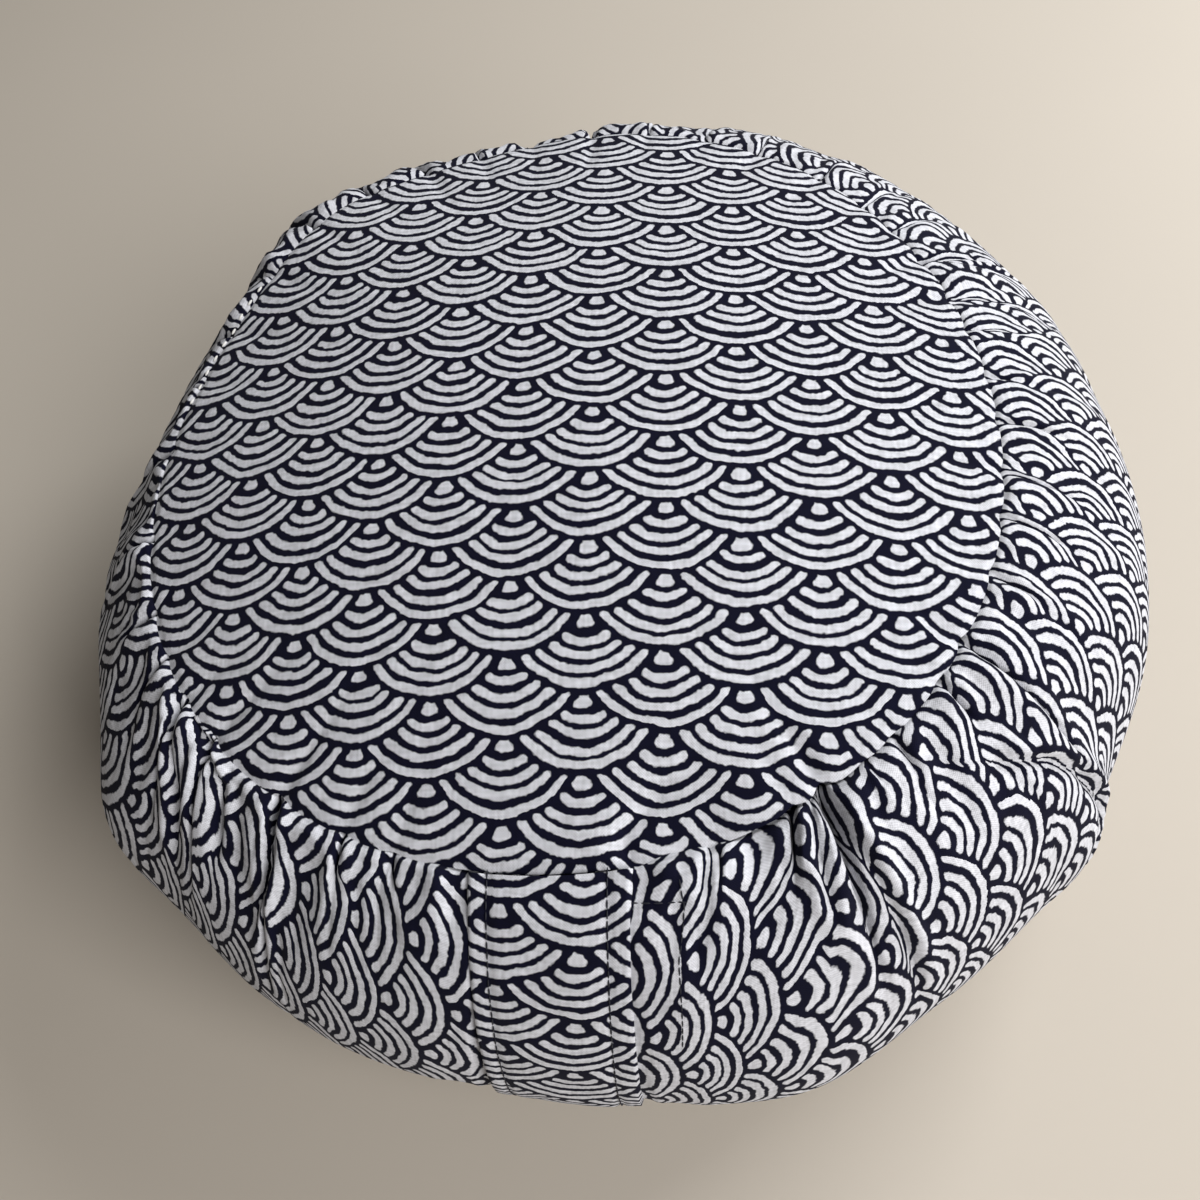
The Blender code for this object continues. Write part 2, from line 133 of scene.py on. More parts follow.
BAND_FOLDS = (
    Fold(((-67.8, 0.00), (-70.0, 0.083), (-71.2, 0.155), (-71.6, 0.22)), 0.0030, 0.0019, -0.0014, 0.0035),
    Fold(((-67.0, 0.00), (-67.0, 0.088), (-66.4, 0.16), (-65.8, 0.30), (-65.0, 0.48)), 0.0034, 0.0019, 0.0022, 0.0065),
    Fold(((-49.0, 0.18), (-44.5, 0.24), (-41.8, 0.30), (-39.4, 0.40), (-39.0, 0.47)), 0.0034, 0.0019, 0.0024, 0.0060),
    Fold(((-39.0, 0.43), (-41.5, 0.48), (-44.0, 0.56)), 0.0026, 0.0018, 0.0012, 0.0030),
    Fold(((-80.6, 0.00), (-81.6, 0.05), (-83.4, 0.11)), 0.0026, 0.0018, 0.0012, 0.0040),
    Fold(((23.5, 0.01), (22.0, 0.12), (20.5, 0.24)), 0.0024, 0.0018, 0.0012, 0.0030),
    Fold(((-135.5, 0.01), (-132.0, 0.14), (-131.5, 0.30)), 0.0030, 0.0020, 0.0018, 0.0035),
    Fold(((-151.0, 0.01), (-142.5, 0.08), (-137.5, 0.24)), 0.0030, 0.0020, 0.0018, 0.0040),
    Fold(((-156.5, 0.03), (-147.0, 0.18), (-143.0, 0.32)), 0.0024, 0.0020, -0.0018, 0.0030),
)
TOP_FOLDS = (
    Fold(((-84, 0.87), (-88, 0.905), (-90.5, 0.947), (-90, 0.981), (-89, 1.01)), 0.0022, 0.0030, 0.0007, 0.0010),
    Fold(((-158.5, 0.52), (-149.0, 0.45)), 0.0006, 0.0014, 0.0003, 0.0),
)
# Where the folds lie on the band: the radius that turns angles into lengths, and the length down the band.
FOLD_RADIUS = 0.160
FOLD_DEPTH = 0.215
# How a fold starts and ends, as shares of its path, and its section, in halves of its width.
FOLD_START, FOLD_START_LENGTH = -0.15, 0.30
FOLD_END, FOLD_END_LENGTH = 0.72, 0.28
CREASE_POWER = 1.15
RIDGE_PLACE, RIDGE_SPREAD = 1.7, 2.2
DRAW_STEEPNESS, DRAW_REACH = 1.6, 0.022


class Wrinkle(NamedTuple):
    """A kind of wrinkle: how far it stands out, how wide and long it is, and how it fades away from a seam."""

    out: float
    wide: float
    long: float
    seed: float
    fade_start: float
    fade_length: float
    least: float
    sharp: bool


WRINKLES = (
    Wrinkle(0.0005, 0.0052, 0.030, 5.3, 0.03, 0.12, 0.0, True),
    Wrinkle(0.0011, 0.0085, 0.050, 3.1, 0.08, 0.26, 0.0, True),
    Wrinkle(0.0018, 0.0240, 0.075, 7.7, 0.15, 0.30, 0.35, False),
)
# A sharp wrinkle's section, and how wrinkles are flattened beside the seam's stitches.
SHARP_RISE, SHARP_DEPTH = 2.4, 0.4
STITCHED_FLAT, STITCHED_REACH = 0.25, 0.04

TUCKS = (
    Tuck(-79.5, 0.25, 0.14, 0.9, 0.22, 0.0),
    Tuck(-70.5, 1.1, 0.17, 0.8, 0.20, -3.0),
    Tuck(-66.5, 2.4, 0.46, 1.8, 0.50, 1.5),
    Tuck(-61.0, 0.4, 0.10, 0.7, 0.18, 0.0),
    Tuck(-56.5, 0.6, 0.12, 0.9, 0.22, 0.0),
    Tuck(-47.5, 0.75, 0.14, 0.8, 0.20, 0.0),
    Tuck(-41.5, 1.5, 0.44, 1.8, 0.50, 1.0),
    Tuck(-31.0, 0.8, 0.16, 0.9, 0.24, 0.0),
    Tuck(-22.5, 0.9, 0.20, 0.9, 0.22, 1.0),
    Tuck(-15.5, 1.0, 0.22, 0.8, 0.20, 0.0),
    Tuck(-7.0, 0.9, 0.18, 1.1, 0.30, 0.0),
    Tuck(0.5, 0.7, 0.12, 0.8, 0.20, 0.0),
    Tuck(9.0, 1.0, 0.24, 1.0, 0.26, 1.0),
    Tuck(15.0, 1.2, 0.28, 0.8, 0.20, -1.0),
    Tuck(23.0, 1.5, 0.36, 1.1, 0.28, -2.0),
    Tuck(30.0, 1.0, 0.18, 0.8, 0.22, 0.0),
    Tuck(36.0, 0.9, 0.16, 1.0, 0.24, 0.0),
    Tuck(44.0, 0.9, 0.16, 0.9, 0.20, 0.0),
    Tuck(54.0, 1.2, 0.24, 1.1, 0.28, 1.0),
    Tuck(62.5, 0.8, 0.18, 0.9, 0.22, 0.0),
    Tuck(71.0, 0.9, 0.22, 0.8, 0.20, -1.0),
    Tuck(79.5, 1.4, 0.32, 1.2, 0.30, 0.0),
    Tuck(89.0, 0.8, 0.18, 0.9, 0.20, 0.0),
    Tuck(97.0, 0.9, 0.22, 1.0, 0.26, 1.0),
    Tuck(105.5, 1.4, 0.34, 1.1, 0.24, 0.0),
    Tuck(115.0, 1.0, 0.24, 0.9, 0.22, 0.0),
    Tuck(125.0, 1.1, 0.30, 1.2, 0.30, -1.0),
    Tuck(135.0, 1.0, 0.22, 0.8, 0.20, 0.0),
    Tuck(145.5, 1.1, 0.26, 1.1, 0.28, 1.0),
    Tuck(155.0, 0.8, 0.18, 0.9, 0.20, 0.0),
    Tuck(166.0, 1.0, 0.24, 0.9, 0.24, 0.0),
    Tuck(180.0, 1.2, 0.30, 1.1, 0.26, -1.0),
    Tuck(191.0, 0.9, 0.20, 0.9, 0.20, 0.0),
    Tuck(198.0, 0.9, 0.22, 0.8, 0.22, 1.0),
    Tuck(205.0, 1.2, 0.34, 1.2, 0.32, 3.0),
    Tuck(212.0, 1.6, 0.40, 1.3, 0.36, 3.0),
    Tuck(224.5, 1.8, 0.46, 1.5, 0.44, 2.0),
    Tuck(234.5, 1.0, 0.14, 0.8, 0.20, 0.0),
    Tuck(241.5, 0.7, 0.10, 0.8, 0.18, 0.0),
)


def smooth(x: np.ndarray) -> np.ndarray:
    """Ease from 0 to 1 as x goes from 0 to 1."""
    x = np.clip(x, 0.0, 1.0)
    return x * x * (3.0 - 2.0 * x)


def turn_between(deg: np.ndarray, other: np.ndarray) -> np.ndarray:
    """The signed angle from other to deg, between -180 and 180 degrees."""
    return (deg - other + 180.0) % 360.0 - 180.0


def soft_ramp(x: np.ndarray) -> np.ndarray:
    """Rise evenly from 0 to 1 as x goes from -1 to 1, with eased ends."""
    return 0.5 + 0.5 * x / (1.0 + np.abs(x) ** 4) ** 0.25


def fold_cloth(x: np.ndarray, y: np.ndarray, path: np.ndarray, fold: Fold) -> tuple:
    """Lay a sharp fold along a path.

    Args:
        x: Places across the cloth, in metres.
        y: Places down the cloth, in metres.
        path: The fold's points in the same coordinates.
        fold: The fold's sizes.

    Returns:
        How far the fold pushes the cloth out, and how far it draws the cloth sideways, on its raised side.
    """
    nearest, side, way = np.full_like(x, np.inf), np.zeros_like(x), np.zeros_like(x)
    for index, (start, end) in enumerate(zip(path, path[1:])):
        run = end - start
        share = np.clip(((x - start[0]) * run[0] + (y - start[1]) * run[1]) / float(run @ run), 0.0, 1.0)
        off_x, off_y = x - start[0] - share * run[0], y - start[1] - share * run[1]
        gap = np.hypot(off_x, off_y)
        closer = gap < nearest
        nearest = np.where(closer, gap, nearest)
        side = np.where(closer, np.sign(run[1] * off_x - run[0] * off_y), side)
        way = np.where(closer, (index + share) / (len(path) - 1), way)
    off = side * nearest / fold.half
    fade = smooth((way - FOLD_START) / FOLD_START_LENGTH) * (1.0 - smooth((way - FOLD_END) / FOLD_END_LENGTH))
    raised = math.copysign(1.0, fold.ridge)
    crease = -fold.depth * np.exp(-(np.abs(off) ** CREASE_POWER))
    beside = abs(fold.ridge) * np.exp(-((off - RIDGE_PLACE * raised) ** 2) / RIDGE_SPREAD)
    drawn = 0.5 * fold.hidden * np.tanh(DRAW_STEEPNESS * off) * np.exp(-((nearest / DRAW_REACH) ** 2))
    return fade * (crease + beside), fade * drawn


def noise_field(points: np.ndarray) -> np.ndarray:
    """Smooth noise at each point.

    Args:
        points: An array of points, three numbers in its last axis.

    Returns:
        Noise of about -1 to 1, in the points' shape without the last axis.
    """
    flat = points.reshape(-1, 3)
    values = [noise.noise(Vector(point), noise_basis="PERLIN_ORIGINAL") for point in flat.tolist()]
    return np.array(values).reshape(points.shape[:-1])


@dataclass(frozen=True)
class CushionForm:
    """The filled cushion's plain form, with the sizes of the CAD model, in metres and degrees."""

    axis: tuple = (-0.0106, -0.0023)
    seam_radius_mean: float = 0.1283
    seam_height_mean: float = 0.1373
    rise_right: float = 0.0088
    rise_back: float = 0.0075
    crown: float = 0.0184
    seam_slide: float = 0.07
    slide_deg: float = 122.0
    slide_half_deg: float = 36.0
    waist_radius: float = 0.1774
    waist_height: float = 0.0600
    waist_centre: tuple = (0.0136, 0.0034)
    bulge_power: float = 1.28
    normal_lean: float = 0.9
    foot_radius_mean: float = 0.1260
    foot_height: float = 0.0027
    foot_centre: tuple = (0.0190, 0.0050)
    closure_width: float = 0.0430
    closure_top_deg: float = -99.3
    closure_waist_deg: float = -99.3
    closure_ends: tuple = (0.012, 0.955)
    seat_depth: float = 0.0014
    seat_fade_deg: float = 4.0
    tuck_mouth: float = 0.15
    tuck_deepest: float = 0.0065
    tuck_least_half_deg: float = 0.9
    tuck_dent: float = 0.0007
    tuck_dent_deg: float = 3.4
    tuck_lip: float = 0.0009
    tuck_lip_place: float = 1.7
    tuck_eased_deg: float = 4.5
    calm_deg: float = 18.0
    calm_half_deg: float = 56.0
    calm_depth: float = 0.28
    tuck_seam_depth: float = 0.25
    tuck_full_down: float = 0.07
    tuck_fade_start: float = 0.35
    lean_down: float = 0.30
    lean_spread_deg: float = 9.0
    hollow_deg: float = -83.0
    hollow_depth: float = 0.0024
    hollow_half_deg: float = 7.0
    hollow_shares: tuple = (0.72, 0.96)
    seam_waves: tuple = (Wave(2, 0.0007, 0.0035), Wave(3, -0.0030, -0.0003))
    seam_height_waves: tuple = (Wave(2, -0.0028, -0.0032),)
    waist_waves: tuple = (Wave(2, 0.0019, 0.0058), Wave(3, -0.0012, 0.0009))

    @staticmethod
    def waves(deg: np.ndarray, rows: tuple) -> np.ndarray:
        """The sum of the rows of waves round an outline."""
        turn = np.radians(deg)
        return sum(row.cosine * np.cos(row.turns * turn) + row.sine * np.sin(row.turns * turn) for row in rows)

    @staticmethod
    def offset_circle(deg: np.ndarray, radius: float, centre: tuple) -> np.ndarray:
        """The radius, from the axis, of a circle whose middle lies a little off the axis."""
        turn = np.radians(deg)
        return radius + centre[0] * np.cos(turn) + centre[1] * np.sin(turn)

    def foot_radius(self, deg: np.ndarray) -> np.ndarray:
        """The radius, from the axis, of the bottom seam."""
        return self.offset_circle(deg, self.foot_radius_mean, self.foot_centre)

    def level_seam(self, deg: np.ndarray) -> np.ndarray:
        """The height of the top of the band's curve."""
        turn = np.radians(deg)
        rise = self.rise_right * np.cos(turn) + self.rise_back * np.sin(turn)
        return self.seam_height_mean + rise + self.waves(deg, self.seam_height_waves)

    def spare_cloth(self, down: np.ndarray) -> np.ndarray:
        """How much longer the strip is than the girth at this height, as a share of the girth."""
        bulge = np.cos(math.pi * (0.5 - down)) ** self.bulge_power
        end = np.where(down < 0.5, self.seam_radius_mean, self.foot_radius_mean)
        return self.waist_radius / (end + (self.waist_radius - end) * bulge) - 1.0

    def strip_places(self) -> list[float]:
        """Where each tuck lies along the strip, in degrees at the waist."""
        spare = float(self.spare_cloth(np.array(0.0)))
        per_share = 360.0 * spare / (1.0 + spare) / sum(tuck.top_share for tuck in TUCKS)
        places, used = [], 0.0
        for tuck in TUCKS:
            hidden = per_share * tuck.top_share
            visible = (tuck.seam_deg - self.closure_top_deg) / (1.0 + spare)
            places.append(self.closure_top_deg + visible + used + hidden / 2.0)
            used += hidden
        return places

    def openness(self, tuck: Tuck, down: np.ndarray) -> np.ndarray:
        """How deep a tuck's crease is at each height, from 0 to 1."""
        from_seam = np.minimum(down, 1.0 - down)
        reach = np.where(down < 0.5, tuck.top_reach, tuck.foot_reach)
        sunk = self.tuck_seam_depth + (1.0 - self.tuck_seam_depth) * smooth(from_seam / self.tuck_full_down)
        return sunk * (1.0 - smooth((from_seam / reach - self.tuck_fade_start) / (1.0 - self.tuck_fade_start)))

    def gather(self, strip_deg: np.ndarray, down: np.ndarray) -> tuple:
        """Where the strip's cloth lies once it is tucked.

        Args:
            strip_deg: Places along the strip, in degrees at the waist.
            down: Heights down the band.

        Returns:
            The angle of each point about the axis, and how far the tucks push it out of the plain form.
        """
        spare = self.spare_cloth(down)
        along = strip_deg - self.closure_top_deg
        turn = self.closure_top_deg + along * (1.0 + spare)
        push = np.zeros_like(along)
        top_shares, foot_shares = sum(row.top_share for row in TUCKS), sum(row.foot_share for row in TUCKS)
        shares = np.where(down < 0.5, top_shares, foot_shares)
        for tuck, strip_place in zip(TUCKS, self.strip_places()):
            hidden = 360.0 * spare * np.where(down < 0.5, tuck.top_share, tuck.foot_share) / shares
            openness = self.openness(tuck, down)
            tight = hidden / (2.0 * (1.0 - self.tuck_mouth) * (1.0 + spare))
            half = tight + (self.tuck_eased_deg - tight) * (1.0 - openness) ** 3
            near = along - (strip_place - self.closure_top_deg)
            turn = turn - hidden * soft_ramp(near / np.maximum(half, 0.05))
            slit = np.minimum(0.5 * np.radians(hidden) * self.seam_radius_mean, self.tuck_deepest)
            valley = np.maximum(tight, self.tuck_least_half_deg)
            dent = self.tuck_dent * min(tuck.top_share, 1.5) * np.exp(-((near / self.tuck_dent_deg) ** 2))
            lip = self.tuck_lip * tuck.top_share * np.exp(-((np.abs(near) / valley - self.tuck_lip_place) ** 2))
            off = float(turn_between(np.array(tuck.seam_deg), self.calm_deg)) / self.calm_half_deg
            firm = 1.0 - (1.0 - self.calm_depth) * math.exp(-(off**4))
            push = push + firm * openness * (lip - slit * (1.0 - smooth(np.abs(near / valley))) - dent)
            lean = tuck.lean_deg * smooth(np.minimum(down, 1.0 - down) / self.lean_down)
            turn = turn + lean * np.exp(-((near / self.lean_spread_deg) ** 2))
        return turn, push

    @staticmethod
    def swelling(deg: np.ndarray, down: np.ndarray) -> np.ndarray:
        """How far the swells push the band out."""
        total = np.zeros_like(deg)
        for swell in SWELLS:
            across = turn_between(deg, swell.deg) / swell.half_deg
            total = total + swell.out * np.exp(-(across**2) - ((down - swell.down) / swell.half_down) ** 2)
        return total

    def seam_slid(self, deg: np.ndarray) -> np.ndarray:
        """How far the top seam has slid down the band's curve, as a share of the most that it does."""
        return np.exp(-((turn_between(deg, self.slide_deg) / self.slide_half_deg) ** 2))

    def curve_point(self, deg: np.ndarray, down: np.ndarray) -> tuple:
        """Radius and height of the band's plain curve, the lean of its normal, and the swell there."""
        slide = self.seam_slide * self.seam_slid(deg)
        down = np.where(down < 0.5, slide + (1.0 - 2.0 * slide) * down, down)
        seam = self.seam_radius_mean + self.waves(deg, self.seam_waves)
        end_radius = np.where(down < 0.5, seam, self.foot_radius(deg))
        end_height = np.where(down < 0.5, self.level_seam(deg), self.foot_height)
        waist = self.offset_circle(deg, self.waist_radius, self.waist_centre) + self.waves(deg, self.waist_waves)
        slope = math.pi * (0.5 - down)
        radius = end_radius + (waist - end_radius) * np.cos(slope) ** self.bulge_power
        height = self.waist_height + (end_height - self.waist_height) * np.abs(np.sin(slope))
        return radius, height, slope * self.normal_lean, self.swelling(deg, down)

    def seam_radius(self, deg: np.ndarray) -> np.ndarray:
        """The radius of the top seam."""
        radius, _, lean, swell = self.curve_point(deg, np.zeros_like(deg))
        return radius + self.seam_slid(deg) * swell * np.cos(lean)

    def seam_height(self, deg: np.ndarray) -> np.ndarray:
        """The height of the top seam."""
        _, height, lean, swell = self.curve_point(deg, np.zeros_like(deg))
        return height + self.seam_slid(deg) * swell * np.sin(lean)

    def band_point(self, deg: np.ndarray, down: np.ndarray, push: np.ndarray) -> tuple:
        """Radius and height of the band's surface, pushed outwards along its own normal."""
        radius, height, lean, swell = self.curve_point(deg, down)
        return radius + (push + swell) * np.cos(lean), height + (push + swell) * np.sin(lean)

    def closure_middle(self, down: np.ndarray) -> np.ndarray:
        """The angle of the closure strip's middle at each height."""
        return self.closure_top_deg + (self.closure_waist_deg - self.closure_top_deg) * smooth(down / 0.5)

    def closure_seat(self, deg: np.ndarray, down: np.ndarray) -> np.ndarray:
        """How far the band is pressed in under the closure strip."""
        half_deg = math.degrees(self.closure_width / 2.0 / self.seam_radius_mean)
        beside = np.abs(turn_between(deg, self.closure_middle(down))) - half_deg
        return self.seat_depth * (1.0 - smooth(beside / self.seat_fade_deg))

    def dome_height(self, deg: np.ndarray, share: np.ndarray) -> np.ndarray:
        """Height of the top panel's upper face, at a share of the way from its middle to the seam."""
        turn = np.radians(deg)
        rise = self.rise_right * np.cos(turn) + self.rise_back * np.sin(turn)
        level = self.seam_height_mean + rise * share + self.waves(deg, self.seam_height_waves) * share**2
        across = turn_between(deg, self.hollow_deg) / self.hollow_half_deg
        start, end = self.hollow_shares
        hollow = self.hollow_depth * np.exp(-(across**2)) * smooth((share - start) / (end - start))
        raised = (self.seam_height(deg) - self.level_seam(deg)) * share**4
        return level + self.crown * (1.0 - share**2) - hollow + raised

    def points(self, deg: np.ndarray, radius: np.ndarray, height: np.ndarray) -> np.ndarray:
        """Points from angles and radii about the axis, in the part's frame, with x, y, z in the last axis."""
        turn = np.radians(deg)
        x = self.axis[0] + radius * np.cos(turn)
        y = self.axis[1] + radius * np.sin(turn)
        return np.stack([x, y, height + 0.0 * x], axis=-1)


FORM = CushionForm()


def arc_lengths(points: np.ndarray, axis: int) -> np.ndarray:
    """Length along each grid line from its first point.

    Args:
        points: A grid of points, with x, y, z in its last axis.
        axis: The grid axis to measure along.

    Returns:
        The lengths, in the grid's shape.
    """
    steps = np.linalg.norm(np.diff(points, axis=axis), axis=-1)
    start = np.zeros_like(np.take(steps, [0], axis=axis))
    return np.concatenate([start, np.cumsum(steps, axis=axis)], axis=axis)


def vertex_values(mesh: bpy.types.Mesh, name: str) -> np.ndarray:
    """A vector for each vertex of a mesh, such as its place or its normal."""
    values = np.zeros(len(mesh.vertices) * 3)
    mesh.vertices.foreach_get(name, values)
    return values.reshape(-1, 3)


def laid_grid(name: str, points: np.ndarray) -> tuple:
    """A mesh object over a grid of points, linked to the scene, and the row and the column of each vertex."""
    rows, columns = points.shape[:2]
    form = bmesh.new()
    bmesh.ops.create_grid(form, x_segments=columns - 1, y_segments=rows - 1, size=0.5)
    mesh = bpy.data.meshes.new(name)
    form.to_mesh(mesh)
    form.free()
    place = vertex_values(mesh, "co")
    column = np.rint((place[:, 0] + 0.5) * (columns - 1)).astype(int)
    row = np.rint((place[:, 1] + 0.5) * (rows - 1)).astype(int)
    mesh.vertices.foreach_set("co", points[row, column].ravel())
    mesh.update()
    piece = bpy.data.objects.new(name, mesh)
    bpy.context.scene.collection.objects.link(piece)
    return piece, row, column


def weld(piece: bpy.types.Object) -> None:
    """Join the coincident points of a sheet's pole and of its first and last columns."""
    form = bmesh.new()
    form.from_mesh(piece.data)
    bmesh.ops.remove_doubles(form, verts=form.verts, dist=1e-6)
    form.to_mesh(piece.data)
    form.free()


def disc_map(cloth: np.ndarray) -> np.ndarray:
    """Coordinates from 0 to 1 for a disc of cloth, with a small margin."""
    return 0.5 + cloth / (2.0 * (np.abs(cloth).max() + 0.002))


def cloth_piece(
    name: str,
    points: np.ndarray,
    cloth: np.ndarray,
    bake: np.ndarray,
    material: bpy.types.Material,
    welded: bool = False,
) -> bpy.types.Object:
    """Lay a piece of cloth over a grid of points.

    Args:
        name: The piece's name.
        points: The grid, rows by columns by three.
        cloth: The cloth's own coordinates in metres, rows by columns by two.
        bake: Coordinates from 0 to 1 that don't overlap, rows by columns by two.
        material: The cloth's material.
        welded: Whether the grid closes on itself.

    Returns:
        The new object, linked to the scene and shaded smooth.
    """
    piece, row, column = laid_grid(name, points)
    mesh = piece.data
    corner = np.zeros(len(mesh.loops), dtype=np.int32)
    mesh.loops.foreach_get("vertex_index", corner)
    for map_name, uv in ((CLOTH_MAP, cloth), (BAKE_MAP, bake)):
        layer = mesh.uv_layers.new(name=map_name)
        layer.data.foreach_set("uv", uv[row[corner], column[corner]].ravel())
    if welded:
        weld(piece)
    mesh.shade_smooth()
    mesh.flip_normals()
    mesh.materials.append(material)
    return piece


class ShaderBuilder:
    """Short words for building a node tree."""

    def __init__(self, tree: bpy.types.NodeTree) -> None:
        self.tree = tree

    def node(self, kind: str, **settings) -> bpy.types.Node:
        """Add a node and set its properties."""
        new = self.tree.nodes.new(kind)
        for key, value in settings.items():
            setattr(new, key, value)
        return new

    def feed(self, socket: bpy.types.NodeSocket, value) -> None:
        """Link a socket to another, or set its constant."""
        if isinstance(value, bpy.types.NodeSocket):
            self.tree.links.new(value, socket)
        elif value is not None:
            socket.default_value = value

    def math(self, operation: str, a, b=None, c=None, clamp: bool = False) -> bpy.types.NodeSocket:
        """A maths node on sockets or constants."""
        new = self.node("ShaderNodeMath", operation=operation, use_clamp=clamp)
        for socket, value in zip(new.inputs, (a, b, c)):
            self.feed(socket, value)
        return new.outputs[0]

    def length(self, x, y) -> bpy.types.NodeSocket:
        """The distance from zero of a point."""
        return self.math("SQRT", self.math("ADD", self.math("MULTIPLY", x, x), self.math("MULTIPLY", y, y)))

    def mix(self, factor, a, b) -> bpy.types.NodeSocket:
        """A blend of two numbers."""
        new = self.node("ShaderNodeMix", data_type="FLOAT")
        for socket, value in zip((new.inputs[0], new.inputs[2], new.inputs[3]), (factor, a, b)):
            self.feed(socket, value)
        return new.outputs[0]

    def mix_colour(self, factor, a, b, blend: str = "MIX") -> bpy.types.NodeSocket:
        """A blend of two colours."""
        new = self.node("ShaderNodeMix", data_type="RGBA", blend_type=blend)
        for socket, value in zip((new.inputs[0], new.inputs[6], new.inputs[7]), (factor, a, b)):
            self.feed(socket, value)
        return new.outputs[2]

    def noise(self, vector, scale: float, detail: float = 2.0, roughness: float = 0.5) -> bpy.types.Node:
        """A noise texture."""
        new = self.node("ShaderNodeTexNoise")
        self.feed(new.inputs["Vector"], vector)
        new.inputs["Scale"].default_value = scale
        new.inputs["Detail"].default_value = detail
        new.inputs["Roughness"].default_value = roughness
        return new

    def combine(self, x, y, z=0.0) -> bpy.types.NodeSocket:
        """A vector from its parts."""
        new = self.node("ShaderNodeCombineXYZ")
        for socket, value in zip(new.inputs, (x, y, z)):
            self.feed(socket, value)
        return new.outputs[0]

    def separate(self, vector) -> tuple:
        """The parts of a vector."""
        new = self.node("ShaderNodeSeparateXYZ")
        self.feed(new.inputs[0], vector)
        return new.outputs[0], new.outputs[1], new.outputs[2]


@dataclass(frozen=True)
class WavePrint:
    """The seigaiha print's measures. All but repeat and row_spacing are shares of the repeat.

    Each row of unsteady shifts the strokes: how far, and the scale of the noise that does so.
    """

    repeat: float = 0.0420
    row_spacing: float = 0.01071
    outline: float = 0.5025
    rings: tuple = (0.475, 0.381, 0.289, 0.196)
    ring_half_width: float = 0.0260
    dot_reach: float = 0.122
    dot_round: float = 0.030
    dot_clearance: float = 0.040
    dot_beside: float = 0.012
    end_clearance: float = 0.030
    unsteady: tuple = ((0.014, 3.1), (0.008, 11.0), (0.0042, 42.0))
    uneven: float = 0.016
    edge: float = 0.004

    def group(self) -> bpy.types.NodeTree:
        """The print as a node group: cloth coordinates in metres in, ink from 0 to 1 out."""
        tree = bpy.data.node_groups.new("wave print", "ShaderNodeTree")
        tree.interface.new_socket("Cloth", in_out="INPUT", socket_type="NodeSocketVector")
        tree.interface.new_socket("Ink", in_out="OUTPUT", socket_type="NodeSocketFloat")
        build = ShaderBuilder(tree)
        start = build.node("NodeGroupInput")
        end = build.node("NodeGroupOutput")
        across, along, _ = build.separate(start.outputs[0])
        x = build.math("DIVIDE", across, self.repeat)
        y = build.math("DIVIDE", along, self.row_spacing * 4.0)
        place = build.combine(x, y)
        for reach, scale in self.unsteady:
            shift = build.separate(build.noise(place, scale, 1.5, 0.5).outputs["Color"])
            x = build.math("MULTIPLY_ADD", build.math("SUBTRACT", shift[0], 0.5), 4.0 * reach, x)
            y = build.math("MULTIPLY_ADD", build.math("SUBTRACT", shift[1], 0.5), 4.0 * reach, y)
        lowest = build.math("CEIL", build.math("SUBTRACT", build.math("MULTIPLY", y, 4.0), 4.0 * self.outline))
        chosen = None
        for step in (2.0, 1.0, 0.0):
            row = build.math("ADD", lowest, step)
            odd = build.math("FLOORED_MODULO", row, 2.0)
            placed = build.math("SUBTRACT", x, build.math("MULTIPLY", odd, 0.5))
            column = build.math("ROUND", placed)
            beside = build.math("SUBTRACT", placed, column)
            below = build.math("SUBTRACT", y, build.math("MULTIPLY", row, 0.25))
            if chosen is None:
                chosen = (beside, below, column, row)
                continue
            inside = build.math("LESS_THAN", build.length(beside, below), self.outline)
            chosen = tuple(build.mix(inside, old, new) for old, new in zip(chosen, (beside, below, column, row)))
        beside, below, column, row = chosen
        distance = build.length(beside, below)
        side_x = build.math("SUBTRACT", build.math("ABSOLUTE", beside), 0.5)
        from_side = build.length(side_x, build.math("ADD", below, 0.25))
        from_above = build.length(beside, build.math("ADD", below, 0.5))
        clear = build.math("SUBTRACT", build.math("MINIMUM", from_side, from_above), self.outline)
        dot_room = build.math("SUBTRACT", build.math("SUBTRACT", from_side, self.outline), self.dot_beside)
        dice = build.node("ShaderNodeTexWhiteNoise", noise_dimensions="2D")
        build.feed(dice.inputs["Vector"], build.combine(column, row))
        chance = build.separate(dice.outputs["Color"])
        ink = None
        for index, radius in enumerate(self.rings + (0.0,)):
            own = build.math("FRACT", build.math("MULTIPLY", build.math("ADD", chance[index % 3], 0.17 * index), 7.3))
            uneven = build.math("MULTIPLY", build.math("SUBTRACT", own, 0.5), self.uneven)
            half = self.ring_half_width if radius else self.dot_reach
            from_ring = build.math("ABSOLUTE", build.math("SUBTRACT", distance, build.math("ADD", uneven, radius)))
            cap = self.ring_half_width if radius else self.dot_round
            margin = self.end_clearance if radius else self.dot_clearance
            over = build.math("MAXIMUM", build.math("SUBTRACT", from_ring, half - cap), 0.0)
            room = clear if radius else build.math("MINIMUM", clear, dot_room)
            short = build.math("MAXIMUM", build.math("SUBTRACT", cap + margin, room), 0.0)
            stroke = build.math("SUBTRACT", cap, build.length(over, short))
            ink = stroke if ink is None else build.math("MAXIMUM", ink, stroke)
        sharp = build.math("ADD", build.math("DIVIDE", ink, 2.0 * self.edge), 0.5, clamp=True)
        build.feed(end.inputs[0], sharp)
        return tree


